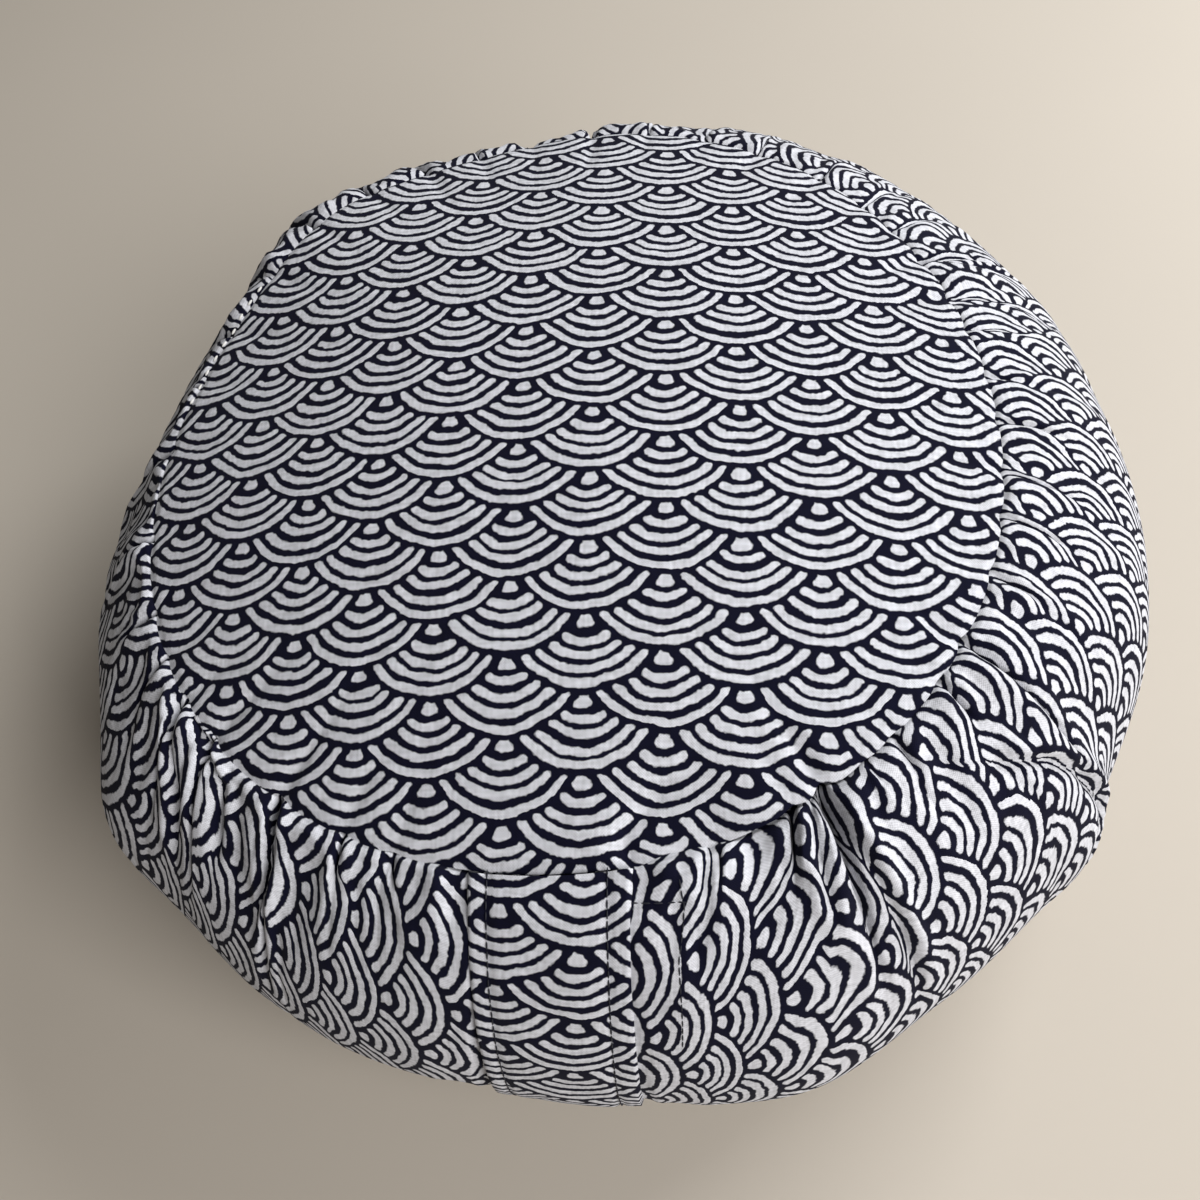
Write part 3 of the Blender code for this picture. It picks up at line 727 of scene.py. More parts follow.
@dataclass(frozen=True)
class Canvas:
    """Cotton canvas: its two colours, its threads and its surface."""

    paper: tuple = (0.660, 0.664, 0.705, 1.0)
    navy: tuple = (0.0036, 0.0038, 0.0145, 1.0)
    thread_pitch: float = 0.00072
    thread_drift: float = 2.2
    drift_scale: float = 260.0
    slub_scale: float = 900.0
    slub_stretch: float = 0.16
    cloud_scale: float = 22.0
    roughness: float = 0.88
    slub_roughness: float = 0.06
    sheen: float = 0.02
    sheen_roughness: float = 0.6
    specular: float = 0.08
    slub_tone: float = 0.62
    thread_tone: float = 0.16
    cloud_tone: float = 0.06
    relief_share: float = 0.25
    bump_strength: float = 0.55
    bump_height: float = 0.00022
    print_: WavePrint = WavePrint()


class ClothTurn(Enum):
    """How the print lies on a piece: the print's rows run along the first or the second cloth coordinate."""

    STRAIGHT = "straight"
    TURNED = "turned"


class CanvasMaterials:
    """Makes the canvas material for each piece, with the print in the place it has there."""

    def __init__(self, canvas: Canvas) -> None:
        self.canvas = canvas
        self.print_group = canvas.print_.group()

    def make(self, name: str, turn: ClothTurn, angle_deg: float, start: tuple) -> bpy.types.Material:
        """The material of one piece.

        Args:
            name: The material's name.
            turn: How the print lies on the piece.
            angle_deg: How far the print is turned in the cloth's own plane.
            start: The cloth coordinates of one dot, in metres.

        Returns:
            The new material.
        """
        material = bpy.data.materials.new(name)
        material.use_nodes = True
        build = ShaderBuilder(material.node_tree)
        shader = material.node_tree.nodes["Principled BSDF"]
        cloth = build.node("ShaderNodeUVMap", uv_map=CLOTH_MAP).outputs[0]
        u, v, _ = build.separate(cloth)
        u = build.math("SUBTRACT", u, start[0])
        v = build.math("SUBTRACT", v, start[1])
        if turn is ClothTurn.TURNED:
            u, v = v, u
        cosine, sine = math.cos(math.radians(angle_deg)), math.sin(math.radians(angle_deg))
        across = build.math("ADD", build.math("MULTIPLY", u, cosine), build.math("MULTIPLY", v, sine))
        along = build.math("SUBTRACT", build.math("MULTIPLY", v, cosine), build.math("MULTIPLY", u, sine))
        printed = build.node("ShaderNodeGroup", node_tree=self.print_group)
        build.feed(printed.inputs[0], build.combine(across, along))
        self.weave(build, shader, across, along, printed.outputs[0])
        return material

    def weave(self, build: ShaderBuilder, shader: bpy.types.Node, across, along, ink) -> None:
        """Colour and relief of the woven, printed threads."""
        canvas = self.canvas
        share = canvas.relief_share
        warped = build.noise(build.combine(across, along), canvas.drift_scale, 1.0)
        long_warp = build.combine(build.math("MULTIPLY", across, canvas.slub_stretch), along)
        long_weft = build.combine(across, build.math("MULTIPLY", along, canvas.slub_stretch))
        slub = build.noise(long_warp, canvas.slub_scale)
        slub_weft = build.noise(long_weft, canvas.slub_scale)
        drift = build.math("MULTIPLY", build.math("SUBTRACT", warped.outputs[0], 0.5), canvas.thread_drift)
        turns = 2.0 * math.pi / canvas.thread_pitch
        warp = build.math("SINE", build.math("ADD", build.math("MULTIPLY", across, turns), drift))
        weft = build.math("SINE", build.math("ADD", build.math("MULTIPLY", along, turns), drift))
        threads = build.math("MULTIPLY", warp, weft)
        relief = build.math("MULTIPLY_ADD", threads, share, 0.5)
        slubs = build.math("ADD", slub.outputs[0], slub_weft.outputs[0])
        for part in (slubs, ink):
            relief = build.math("ADD", relief, build.math("MULTIPLY", part, share))
        tone = build.math("MULTIPLY_ADD", build.math("SUBTRACT", slubs, 1.0), canvas.slub_tone, 1.0)
        tone = build.math("ADD", tone, build.math("MULTIPLY", threads, canvas.thread_tone))
        clouds = build.noise(build.combine(across, along), canvas.cloud_scale, 3.0)
        cloudy = build.math("SUBTRACT", clouds.outputs[0], 0.5)
        tone = build.math("ADD", tone, build.math("MULTIPLY", cloudy, canvas.cloud_tone))
        shade = build.combine(tone, tone, tone)
        colour = build.mix_colour(ink, canvas.navy, canvas.paper)
        colour = build.mix_colour(1.0, colour, shade, "MULTIPLY")
        build.feed(shader.inputs["Base Color"], colour)
        bump = build.node("ShaderNodeBump")
        matt = build.math("MULTIPLY_ADD", slubs, canvas.slub_roughness, canvas.roughness - canvas.slub_roughness)
        for socket, value in (
            (shader.inputs["Roughness"], matt),
            (shader.inputs["Sheen Weight"], canvas.sheen),
            (shader.inputs["Sheen Roughness"], canvas.sheen_roughness),
            (shader.inputs["Specular IOR Level"], canvas.specular),
            (bump.inputs["Strength"], canvas.bump_strength),
            (bump.inputs["Distance"], canvas.bump_height),
            (bump.inputs["Height"], relief),
            (shader.inputs["Normal"], bump.outputs[0]),
        ):
            build.feed(socket, value)


@dataclass(frozen=True)
class SeamPucker:
    """How the top seam is drawn in beside the tucks, and how the cloth rolls into it."""

    depth: float = 0.0010
    half_deg: float = 1.2
    roll: float = 0.0008
    roll_share: float = 0.020
    roll_down: float = 0.020

    def drawn(self, deg: np.ndarray) -> np.ndarray:
        """How far the seam is drawn in at each angle."""
        total = np.zeros_like(deg)
        for tuck in TUCKS:
            total = total + tuck.top_share * np.exp(-((turn_between(deg, tuck.seam_deg) / self.half_deg) ** 2))
        return self.depth * total


PUCKER = SeamPucker()


@dataclass(frozen=True)
class Settling:
    """A cloth simulation of the band, held at both seams and under the closure, that the filling presses out.

    The cloth is a little longer than its place, so that it settles in soft, uneven puffs and creases.
    """

    columns: int = 600
    rows: int = 52
    frames: int = 20
    pressure: float = 4.0
    spare: float = 0.030
    most: float = 0.0017
    calm: float = 0.55
    held_rows: int = 2
    stiffness: float = 25.0
    bending: float = 0.15

    def held(self, deg: np.ndarray, down: np.ndarray) -> np.ndarray:
        """Which points don't move: the rows at both seams, and the cloth under the closure strip."""
        row = np.arange(self.rows)[:, None] + 0 * deg
        half_deg = math.degrees(FORM.closure_width / 2.0 / FORM.waist_radius) + 1.0
        under_closure = np.abs(turn_between(deg, FORM.closure_middle(down))) < half_deg
        return (row < self.held_rows) | (row >= self.rows - self.held_rows) | under_closure

    def stretch(self, piece: bpy.types.Object, held: np.ndarray) -> np.ndarray:
        """Press the cloth out for some frames, and return how far each vertex has moved along its normal."""
        pins = piece.vertex_groups.new(name="held")
        pins.add(np.flatnonzero(held).tolist(), 1.0, "REPLACE")
        cloth = piece.modifiers.new("cloth", "CLOTH")
        cloth.collision_settings.use_collision = False
        cloth.settings.effector_weights.gravity = 0.0
        for name, value in (
            ("vertex_group_mass", pins.name),
            ("use_pressure", True),
            ("uniform_pressure_force", self.pressure),
            ("shrink_min", -self.spare),
            ("tension_stiffness", self.stiffness),
            ("compression_stiffness", self.stiffness),
            ("shear_stiffness", self.stiffness / 3.0),
            ("bending_stiffness", self.bending),
        ):
            setattr(cloth.settings, name, value)
        scene = bpy.context.scene
        scene.frame_start, scene.frame_end = 1, self.frames
        cloth.point_cache.frame_start, cloth.point_cache.frame_end = 1, self.frames
        for frame in range(1, self.frames + 1):
            scene.frame_set(frame)
        settled = piece.evaluated_get(bpy.context.evaluated_depsgraph_get()).to_mesh()
        moved = vertex_values(settled, "co") - vertex_values(piece.data, "co")
        scene.frame_set(1)
        return np.sum(moved * vertex_values(piece.data, "normal"), axis=-1)

    def run(self) -> tuple:
        """Settle the band's cloth.

        Returns:
            The strip places, the heights down the band, and how far the cloth moved out at each of them.
        """
        places = np.linspace(FORM.closure_top_deg, FORM.closure_top_deg + 360.0, self.columns)
        downs = np.linspace(0.0, 1.0, self.rows)
        strip, down = np.meshgrid(places, downs)
        deg, push = FORM.gather(strip, down)
        out = np.zeros_like(down)
        piece, row, column = laid_grid("settling", FORM.points(deg, *FORM.band_point(deg, down, push)))
        piece.data.flip_normals()
        moved = self.stretch(piece, self.held(deg, down)[row, column])
        bpy.data.objects.remove(piece)
        LOG.info("settled: %.2f to %.2f mm", 1000.0 * moved.min(), 1000.0 * moved.max())
        firm = 1.0 - self.calm * np.exp(-((turn_between(deg, FORM.calm_deg) / FORM.calm_half_deg) ** 4))
        out[row, column] = self.most * np.tanh(moved / self.most)
        return places, downs, firm * out


def sampled(field: tuple, strip: np.ndarray, down: np.ndarray) -> np.ndarray:
    """The values of a field of strip places, heights and values, blended between its points."""
    places, downs, values = field
    column = np.clip((strip - places[0]) / (places[-1] - places[0]) * (len(places) - 1), 0, len(places) - 1.001)
    row = np.clip(down * (len(downs) - 1), 0, len(downs) - 1.001)
    left, upper = column.astype(int), row.astype(int)
    across, along = column - left, row - upper
    top = values[upper, left] * (1.0 - across) + values[upper, left + 1] * across
    bottom = values[upper + 1, left] * (1.0 - across) + values[upper + 1, left + 1] * across
    return top * (1.0 - along) + bottom * along


@dataclass
class SideBand:
    """The tucked band: a strip that is gathered into both seams and bulges between them."""

    material: bpy.types.Material
    rows: int = 92
    spacing_deg: float = 0.60
    back_spacing_deg: float = 1.0
    fold_spacing_deg: float = 0.30
    seen_from_deg: float = -60.0
    seen_half_deg: float = 118.0
    crowding: float = 1.25
    seam_allowance: float = 0.006
    turned_under: float = 0.004
    turned_length: float = 0.007
    foot_height: float = 0.0024
    tuck_steps: tuple = (0.12, 0.35, 0.6, 0.85, 1.05, 1.3, 1.7, 2.2)

    def columns(self) -> np.ndarray:
        """The places along the strip of the grid's columns, closer together in the tucks."""
        form = FORM
        spare = float(form.spare_cloth(np.array(0.0)))
        per_share = 360.0 * spare / sum(tuck.top_share for tuck in TUCKS)
        marks = [form.closure_top_deg, form.closure_top_deg + 360.0]
        for tuck, middle in zip(TUCKS, form.strip_places()):
            half = per_share * tuck.top_share / (2.0 * (1.0 - form.tuck_mouth) * (1.0 + spare))
            marks += [middle] + [middle + side * step * half for step in self.tuck_steps for side in (-1.0, 1.0)]
        marks = sorted(marks)
        probe = np.linspace(marks[0], marks[-1], 3600)
        folds = []
        for fold in BAND_FOLDS:
            ends = [float(np.interp(deg % 360.0, *self.turned(probe, down))) for deg, down in fold.path]
            folds.append((min(ends) - 1.6, max(ends) + 1.6))
        filled = []
        for here, following in zip(marks, marks[1:]):
            middle = 0.5 * (here + following)
            seen = abs(float(turn_between(np.array(middle), self.seen_from_deg))) < self.seen_half_deg
            spacing = self.spacing_deg if seen else self.back_spacing_deg
            if any(low < middle < high for low, high in folds):
                spacing = self.fold_spacing_deg
            count = max(1, math.ceil((following - here) / spacing))
            filled += [here + (following - here) * step / count for step in range(count)]
        return np.array(filled + [marks[-1]])

    @staticmethod
    def turned(strip: np.ndarray, down: float) -> tuple:
        """The angles that places along the strip come to at one height, in rising order, and the places."""
        deg = FORM.gather(strip, np.full_like(strip, down))[0] % 360.0
        order = np.argsort(deg)
        return deg[order], strip[order]

    def wrinkles(self, strip: np.ndarray, down: np.ndarray) -> np.ndarray:
        """Wrinkles that run down from the seams, with sharp valleys, and die out towards the waist."""
        along = np.radians(strip) * FORM.waist_radius
        from_seam = np.minimum(down, 1.0 - down)
        total = np.zeros_like(along)
        for wrinkle in WRINKLES:
            across, length = along / wrinkle.wide, down * FOLD_DEPTH / wrinkle.long
            rumple = noise_field(np.stack([across, length, 0.0 * along + wrinkle.seed], axis=-1))
            if wrinkle.sharp:
                rumple = SHARP_RISE * np.abs(rumple) - SHARP_DEPTH
            fade = 1.0 - (1.0 - wrinkle.least) * smooth((from_seam - wrinkle.fade_start) / wrinkle.fade_length)
            total = total + wrinkle.out * rumple * fade
        return total * (STITCHED_FLAT + (1.0 - STITCHED_FLAT) * smooth(from_seam / STITCHED_REACH))

    @staticmethod
    def folds(deg: np.ndarray, down: np.ndarray) -> tuple:
        """How far the sharp folds push the cloth out, and how far they draw it along the strip."""
        push, drawn = np.zeros_like(deg), np.zeros_like(deg)
        for fold in BAND_FOLDS:
            first = fold.path[0][0]
            path = np.array([(math.radians(turn - first) * FOLD_RADIUS, way * FOLD_DEPTH) for turn, way in fold.path])
            across = np.radians(turn_between(deg, first)) * FOLD_RADIUS
            more = fold_cloth(across, down * FOLD_DEPTH, path, fold)
            push, drawn = push + more[0], drawn + more[1]
        return push, drawn

    def build(self) -> bpy.types.Object:
        """Make the band's cloth."""
        columns = self.columns()
        way = np.linspace(-1.0, 1.0, self.rows)
        down_rows = 0.5 + 0.5 * np.sign(way) * (1.0 - (1.0 - np.abs(way)) ** self.crowding)
        strip, down = np.meshgrid(columns, down_rows)
        deg, push = FORM.gather(strip, down)
        folded, drawn = self.folds(deg, down)
        settled = sampled(Settling().run(), strip, down)
        push = push + settled + self.wrinkles(strip, down) + folded - FORM.closure_seat(deg, down)
        radius, height = FORM.band_point(deg, down, push)
        roll = (1.0 - smooth(down / PUCKER.roll_down)) * PUCKER.roll
        radius = radius - PUCKER.drawn(deg) * (1.0 - smooth(down / 0.10))
        height = np.maximum(height - roll, self.foot_height)
        points = FORM.points(deg, radius, height)
        allowance = self.seam_allowance
        under = FORM.points(deg[:1], radius[:1] - allowance, height[:1] - self.turned_under)
        foot = FORM.points(deg[-1:], radius[-1:] - allowance, 0.0 * height[-1:] + self.foot_height)
        arc = arc_lengths(points, 0)
        points = np.concatenate([under, points, foot], axis=0)
        arc = np.concatenate([arc[:1] - self.turned_length, arc, arc[-1:] + allowance], axis=0)
        along = np.radians(np.vstack([strip[:1], strip, strip[-1:]]) - FORM.closure_top_deg) * FORM.waist_radius
        cloth = np.stack([along + np.vstack([drawn[:1], drawn, drawn[-1:]]), arc], axis=-1)
        total = along[0, -1]
        bake = np.stack([along / total, (arc + 0.01) / (arc.max() + 0.02)], axis=-1)
        piece = cloth_piece("band_cloth", points, cloth, bake, self.material)
        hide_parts("side_band")
        return piece


@dataclass
class TopPanel:
    """The round panel, domed by the filling, that is sewn in at the top seam."""

    material: bpy.types.Material
    rings: int = 88
    columns: int = 720
    crowding: float = 1.35
    ripple: float = 0.0006
    ripple_size: tuple = (0.030, 0.045)
    pucker_depth: float = 0.55

    @staticmethod
    def folds(deg: np.ndarray, share: np.ndarray) -> np.ndarray:
        """How far the folds of the top panel push it up."""
        x, y = (FORM.seam_radius_mean * share * ratio(np.radians(deg)) for ratio in (np.cos, np.sin))
        total = np.zeros_like(deg)
        for fold in TOP_FOLDS:
            turns, shares = np.array(fold.path).T
            reach = FORM.seam_radius_mean * shares
            path = np.stack([reach * np.cos(np.radians(turns)), reach * np.sin(np.radians(turns))], axis=-1)
            total = total + fold_cloth(x, y, path, fold)[0]
        return total

    def build(self) -> bpy.types.Object:
        """Make the top panel's cloth."""
        degrees = np.linspace(-180.0, 180.0, self.columns + 1)
        way = np.linspace(0.0, 1.0, self.rings)
        shares = 1.0 - (1.0 - way) ** self.crowding
        deg, share = np.meshgrid(degrees, shares)
        edge = FORM.seam_radius(deg) - PUCKER.drawn(deg)
        radius = share * edge
        height = FORM.dome_height(deg, share)
        height = height - PUCKER.roll * smooth((share - 1.0 + PUCKER.roll_share) / PUCKER.roll_share)
        near_edge = smooth((share - 0.80) / 0.17) * (1.0 - smooth((share - 0.975) / 0.02))
        height = height - self.pucker_depth * PUCKER.drawn(deg) * near_edge
        points = FORM.points(deg, radius, height)
        x, y = points[..., 0] / self.ripple_size[0], points[..., 1] / self.ripple_size[1]
        ripples = noise_field(np.stack([x, y, 0.0 * radius + 1.7], axis=-1))
        points[..., 2] += self.ripple * ripples * (1.0 - 0.8 * share) + self.folds(deg, share)
        flat = radius * (1.0 + (2.0 * FORM.crown / FORM.seam_radius_mean**2) ** 2 * radius**2 / 6.0)
        turn = np.radians(deg)
        cloth = np.stack([flat * np.cos(turn), -flat * np.sin(turn)], axis=-1)
        piece = cloth_piece("top_cloth", points, cloth, disc_map(cloth), self.material, welded=True)
        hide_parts("top_panel")
        return piece


@dataclass
class BottomPanel:
    """The round panel under the cushion, pressed flat on the floor."""

    material: bpy.types.Material
    columns: int = 180

    def build(self) -> bpy.types.Object:
        """Make the bottom panel's cloth, with a rounded rim."""
        degrees = np.linspace(-180.0, 180.0, self.columns + 1)
        rim = FORM.foot_radius(degrees)
        profile = [(share, 0.0, 0.0) for share in np.linspace(0.0, 0.985, 12)]
        profile += [(1.0, 0.0006, -0.0004), (1.0, 0.0013, 0.0), (1.0, 0.0020, -0.0006), (0.97, 0.0022, 0.0)]
        rows = [FORM.points(degrees, share * rim + out, 0.0 * rim + height) for share, height, out in profile]
        points = np.stack(rows)
        flat = points[..., :2] - np.array(FORM.axis)
        cloth = np.stack([flat[..., 0], -flat[..., 1]], axis=-1)
        piece = cloth_piece("bottom_cloth", points, cloth, disc_map(cloth), self.material, welded=True)
        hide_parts("bottom_panel")
        laid = FORM.points(degrees, rim + 0.005, 0.0 * rim)[:, :2]
        return piece


@dataclass
class ClosurePanel:
    """The plain strip down the front of the band, over the filling slot, with its topstitching."""

    material: bpy.types.Material
    thread: bpy.types.Material
    rows: int = 150
    columns: int = 44
    stand: float = 0.0007
    thickness: float = 0.0014
    edge_share: float = 0.05
    rumple: float = 0.0006
    rumple_place: tuple = (1.7, 16.0, 5.0)
    stitch_lines: tuple = (-0.74, 0.70)
    stitch_pitch: float = 0.0026
    stitch_sink: float = 0.0004
    groove_depth: float = 0.0007
    groove_half: float = 0.05

    def lay(self, across: np.ndarray, down: np.ndarray, lift: np.ndarray) -> np.ndarray:
        """Points on the strip, from -1 to 1 across it.

        Args:
            across: Places across the strip, from one edge to the other.
            down: Heights down the band.
            lift: How far above the strip's own surface each point lies.

        Returns:
            The points, with x, y, z in the last axis.
        """
        middle = FORM.closure_middle(down)
        plain_radius, _ = FORM.band_point(middle, down, 0.0 * down)
        deg = middle + across * np.degrees(FORM.closure_width / 2.0 / plain_radius)
        wide, long, seed = self.rumple_place
        place = np.stack([across * wide, down * long, 0.0 * down + seed], axis=-1)
        rumple = self.rumple * noise_field(place) * (1.0 - np.abs(across) ** 4)
        radius, height = FORM.band_point(deg, down, lift + rumple + self.stand - FORM.seat_depth + self.thickness)
        return FORM.points(deg, radius, height)

    def build(self) -> list[bpy.types.Object]:
        """Make the strip and its stitches."""
        way = np.linspace(-1.0, 1.0, self.columns)
        rows = np.linspace(FORM.closure_ends[0], FORM.closure_ends[1], self.rows)
        across, down = np.meshgrid(way, rows)
        edge = smooth((1.0 - np.abs(across)) / self.edge_share)
        lift = -(self.thickness + self.stand) * (1.0 - edge)
        for line in self.stitch_lines:
            lift = lift - self.groove_depth * np.exp(-(((across - line) / self.groove_half) ** 2))
        points = self.lay(across, down, lift)
        cloth = np.stack([across * FORM.closure_width / 2.0, arc_lengths(points, 0)], axis=-1)
        bake = np.stack([(across + 1.0) / 2.0, cloth[..., 1] / cloth[..., 1].max()], axis=-1)
        piece = cloth_piece("closure_cloth", points, cloth, bake, self.material)
        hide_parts("closure_panel")
        found = [piece]
        for index, line in enumerate(self.stitch_lines):
            where = np.linspace(FORM.closure_ends[0], FORM.closure_ends[1] - 0.01, 120)
            path = self.lay(0.0 * where + line, where, 0.0 * where - self.stitch_sink)
            found.append(StitchRow(f"closure_stitch_{index}", path, self.stitch_pitch, self.thread).build())
        return found


@dataclass
class StitchRow:
    """A row of machine stitches along a path, made by Geometry Nodes."""

    name: str
    path: np.ndarray
    pitch: float
    material: bpy.types.Material
    thread_radius: float = 0.00024
    filled_share: float = 0.90

    def node_tree(self) -> bpy.types.GeometryNodeTree:
        """The node tree that sets stitches along a curve."""
        tree = bpy.data.node_groups.new(f"{self.name} nodes", "GeometryNodeTree")
        tree.is_modifier = True
        tree.interface.new_socket("Geometry", in_out="INPUT", socket_type="NodeSocketGeometry")
        tree.interface.new_socket("Geometry", in_out="OUTPUT", socket_type="NodeSocketGeometry")
        build = ShaderBuilder(tree)
        start, end = build.node("NodeGroupInput"), build.node("NodeGroupOutput")
        resample = build.node("GeometryNodeResampleCurve", mode="LENGTH")
        resample.inputs["Length"].default_value = self.pitch
        capsule = build.node("GeometryNodeMeshUVSphere")
        capsule.inputs["Segments"].default_value = 8
        capsule.inputs["Rings"].default_value = 6
        capsule.inputs["Radius"].default_value = 1.0
        shaped = build.node("GeometryNodeTransform")
        length = self.pitch * self.filled_share / 2.0
        shaped.inputs["Scale"].default_value = (self.thread_radius, self.thread_radius, length)
        along = build.node("GeometryNodeInputTangent")
        turned = build.node("FunctionNodeAlignRotationToVector", axis="Z")
        placed = build.node("GeometryNodeInstanceOnPoints")
        real = build.node("GeometryNodeRealizeInstances")
        painted = build.node("GeometryNodeSetMaterial")
        painted.inputs["Material"].default_value = self.material
        build.feed(resample.inputs["Curve"], start.outputs[0])
        build.feed(shaped.inputs["Geometry"], capsule.outputs["Mesh"])
        build.feed(turned.inputs["Vector"], along.outputs[0])
        build.feed(placed.inputs["Points"], resample.outputs[0])
        build.feed(placed.inputs["Instance"], shaped.outputs[0])
        build.feed(placed.inputs["Rotation"], turned.outputs[0])
        build.feed(real.inputs[0], placed.outputs[0])
        build.feed(painted.inputs["Geometry"], real.outputs[0])
        build.feed(end.inputs[0], painted.outputs[0])
        return tree

    def build(self) -> bpy.types.Object:
        """Make the stitches as one mesh."""
        curve = bpy.data.curves.new(self.name, "CURVE")
        curve.dimensions = "3D"
        spline = curve.splines.new("POLY")
        spline.points.add(len(self.path) - 1)
        spline.points.foreach_set("co", np.hstack([self.path, np.ones((len(self.path), 1))]).ravel())
        carrier = bpy.data.objects.new(self.name, curve)
        bpy.context.scene.collection.objects.link(carrier)
        carrier.modifiers.new("stitches", "NODES").node_group = self.node_tree()
        graph = bpy.context.evaluated_depsgraph_get()
        mesh = bpy.data.meshes.new_from_object(carrier.evaluated_get(graph))
        bpy.data.objects.remove(carrier)
        stitches = bpy.data.objects.new(self.name, mesh)
        bpy.context.scene.collection.objects.link(stitches)
        mesh.shade_smooth()
        if not mesh.materials:
            mesh.materials.append(self.material)
        return stitches


class SeamStitch(NamedTuple):
    """A row of stitches on the band: its name, its points as angle and height down, and the thread's look."""

    name: str
    path: tuple
    pitch: float
    thread_radius: float
    filled_share: float
    pale: bool


UNDERLAP_PATH = ((-84.9, 0.070), (-85.0, 0.110), (-86.6, 0.19), (-87.6, 0.318))
SEAM_STITCHES = (
    SeamStitch("cross_stitch", ((-90.2, 0.088), (-85.0, 0.103)), 0.0026, 0.00022, 0.92, False),
    SeamStitch("underlap_stitch", UNDERLAP_PATH, 0.0026, 0.00020, 0.92, False),
    SeamStitch("hand_stitch", ((138.0, 0.004), (158.0, 0.004)), 0.0058, 0.00045, 0.42, True),
)


def stitched_band(band: bpy.types.Object, threads: dict[bool, bpy.types.Material]) -> list[bpy.types.Object]:
    """Lay the rows of stitches that run over the band's cloth."""
    rows = []
    for stitch in SEAM_STITCHES:
        turns, downs = np.array(stitch.path).T
        way = np.linspace(0.0, 1.0, 60)
        marks = np.linspace(0.0, 1.0, len(turns))
        deg, down = np.interp(way, marks, turns), np.interp(way, marks, downs)
        plain = FORM.points(deg, *FORM.band_point(deg, down, 0.0 * deg))
        path = []
        for point in plain:
            found, place, normal, _ = band.closest_point_on_mesh(Vector(point))
            path.append(place + normal * 0.4 * stitch.thread_radius if found else Vector(point))
        row = StitchRow(stitch.name, np.array(path), stitch.pitch, threads[stitch.pale])
        row.thread_radius, row.filled_share = stitch.thread_radius, stitch.filled_share
        rows.append(row.build())
    return rows


class Grain(NamedTuple):
    """How a plain material's tone varies: the grains' scale and detail, and by how much."""

    scale: float
    detail: float
    spread: float


def toned_material(name: str, colour: tuple, roughness: float, grain: Grain) -> bpy.types.Material:
    """A plain material whose tone varies a little over it."""
    material = bpy.data.materials.new(name)
    material.use_nodes = True
    build = ShaderBuilder(material.node_tree)
    shader = material.node_tree.nodes["Principled BSDF"]
    grains = build.noise(build.node("ShaderNodeTexCoord").outputs["Object"], grain.scale, grain.detail)
    tone = build.math("MULTIPLY_ADD", grains.outputs[0], grain.spread, 1.0 - grain.spread / 2.0)
    build.feed(shader.inputs["Base Color"], build.mix_colour(1.0, colour, build.combine(tone, tone, tone), "MULTIPLY"))
    shader.inputs["Roughness"].default_value = roughness
    return material


def thread_material(name: str, colour: tuple) -> bpy.types.Material:
    """Twisted sewing thread."""
    return toned_material(name, colour, 0.6, Grain(2400.0, 1.0, 0.5))


@dataclass(frozen=True)
class Lamp:
    """A soft square light: where it stands, what it looks at, its side, power and colour."""

    name: str
    place: tuple
    side: float
    watts: float
    colour: tuple


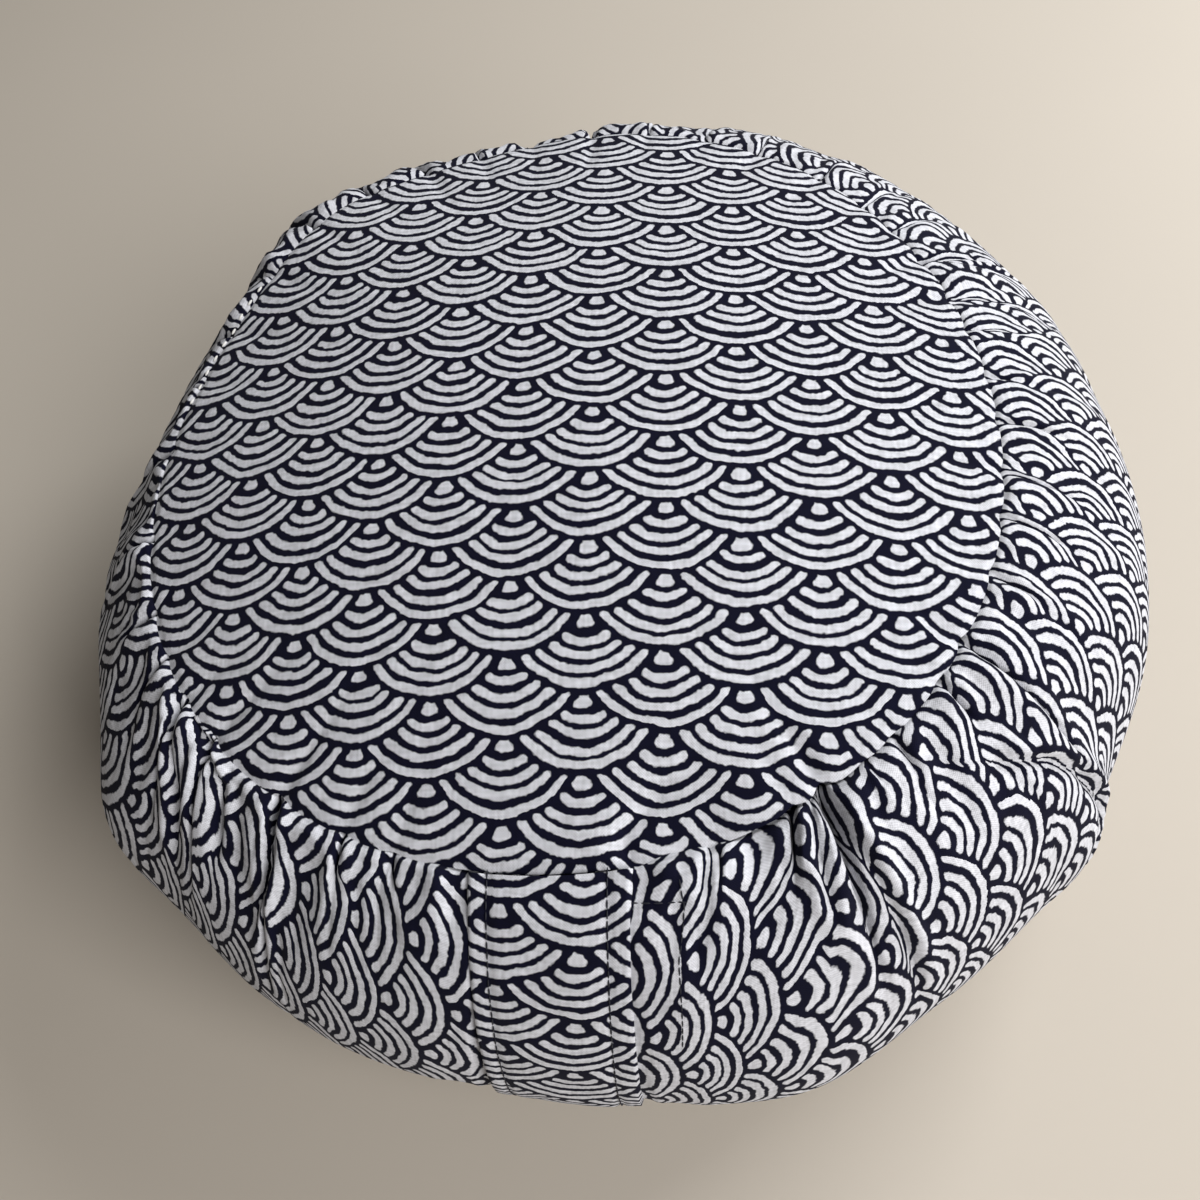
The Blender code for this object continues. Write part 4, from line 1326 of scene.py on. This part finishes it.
@dataclass(frozen=True)
class Studio:
    """The floor, the soft light and the camera, placed as the photo shows."""

    floor_colour: tuple = (0.585, 0.525, 0.445, 1.0)
    world_colour: tuple = (1.0, 0.965, 0.92, 1.0)
    world_strength: float = 0.14
    lamps: tuple = (
        Lamp("window", (1.00, 0.60, 0.92), 0.9, 17.5, (0.96, 0.98, 1.0)),
        Lamp("doorway", (0.84, -0.95, 1.05), 0.9, 20.5, (1.0, 0.99, 0.99)),
    )
    camera_place: tuple = (-0.00815, -0.2231, 0.4187)
    camera_pitch: float = 1.0323
    camera_roll: float = -0.1474
    lens: float = 35.39

    def floor(self) -> None:
        """A plain pale floor."""
        bpy.ops.mesh.primitive_plane_add(size=6.0, location=(0.0, 0.0, 0.0))
        floor = bpy.context.object
        floor.name = "floor"
        floor.data.materials.append(toned_material("floor", self.floor_colour, 0.65, Grain(3.0, 3.0, 0.10)))

    def light(self) -> None:
        """The soft lights and the sky."""
        for lamp in self.lamps:
            data = bpy.data.lights.new(lamp.name, "AREA")
            data.size = lamp.side
            data.energy = lamp.watts
            data.color = lamp.colour
            item = bpy.data.objects.new(lamp.name, data)
            item.location = lamp.place
            aim = Vector((0.0, 0.0, 0.08)) - Vector(lamp.place)
            item.rotation_euler = aim.to_track_quat("-Z", "Y").to_euler()
            bpy.context.scene.collection.objects.link(item)
        world = bpy.data.worlds.new("room")
        world.use_nodes = True
        backdrop = world.node_tree.nodes["Background"]
        backdrop.inputs[0].default_value = self.world_colour
        backdrop.inputs[1].default_value = self.world_strength
        bpy.context.scene.world = world

    def camera(self) -> None:
        """The camera, where the photo was taken from."""
        pitch, roll = self.camera_pitch, self.camera_roll
        right = Vector((1.0, 0.0, 0.0))
        up = Vector((0.0, math.sin(pitch), math.cos(pitch)))
        ahead = Vector((0.0, math.cos(pitch), -math.sin(pitch)))
        across = math.cos(roll) * right + math.sin(roll) * up
        upward = -math.sin(roll) * right + math.cos(roll) * up
        data = bpy.data.cameras.new("camera")
        data.sensor_width = 36.0
        data.lens = self.lens
        data.clip_start = 0.01
        item = bpy.data.objects.new("camera", data)
        turned = Matrix((across, upward, -ahead)).transposed().to_4x4()
        item.matrix_world = Matrix.Translation(self.camera_place) @ turned
        bpy.context.scene.collection.objects.link(item)
        bpy.context.scene.camera = item

    def set_up(self) -> None:
        """Place all of it, and set the view's colours."""
        self.floor()
        self.light()
        self.camera()
        scene = bpy.context.scene
        scene.render.engine = "CYCLES"
        scene.view_settings.view_transform = "Standard"
        scene.view_settings.exposure = 0.0


class Zafu:
    """The whole cushion, dressed."""

    def __init__(self, canvas: Canvas) -> None:
        self.materials = CanvasMaterials(canvas)
        self.thread = thread_material("navy thread", (0.006, 0.007, 0.016, 1.0))
        self.pale_thread = thread_material("white thread", (0.74, 0.73, 0.70, 1.0))

    def build(self) -> None:
        """Make every piece and let it ride on the cushion's body."""
        make: Callable = self.materials.make
        band = SideBand(make("band canvas", ClothTurn.TURNED, -0.68, (0.014, 0.029))).build()
        top = TopPanel(make("top canvas", ClothTurn.STRAIGHT, 9.23, (0.0208, 0.0544))).build()
        bottom = BottomPanel(make("bottom canvas", ClothTurn.STRAIGHT, 0.0, (0.0, 0.0))).build()
        closure = ClosurePanel(make("closure canvas", ClothTurn.STRAIGHT, 4.4, (0.0095, -0.0034)), self.thread).build()
        stitches = stitched_band(band, {False: self.thread, True: self.pale_thread})
        for piece in [band, top, bottom, *closure, *stitches]:
            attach(piece, "root")
            LOG.info("%s: %d faces", piece.name, len(piece.data.polygons))


def main() -> None:
    """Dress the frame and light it."""
    for old in list(bpy.data.objects):
        bpy.data.objects.remove(old)
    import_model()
    Zafu(Canvas()).build()
    Studio().set_up()


if __name__ == "__main__":
    main()
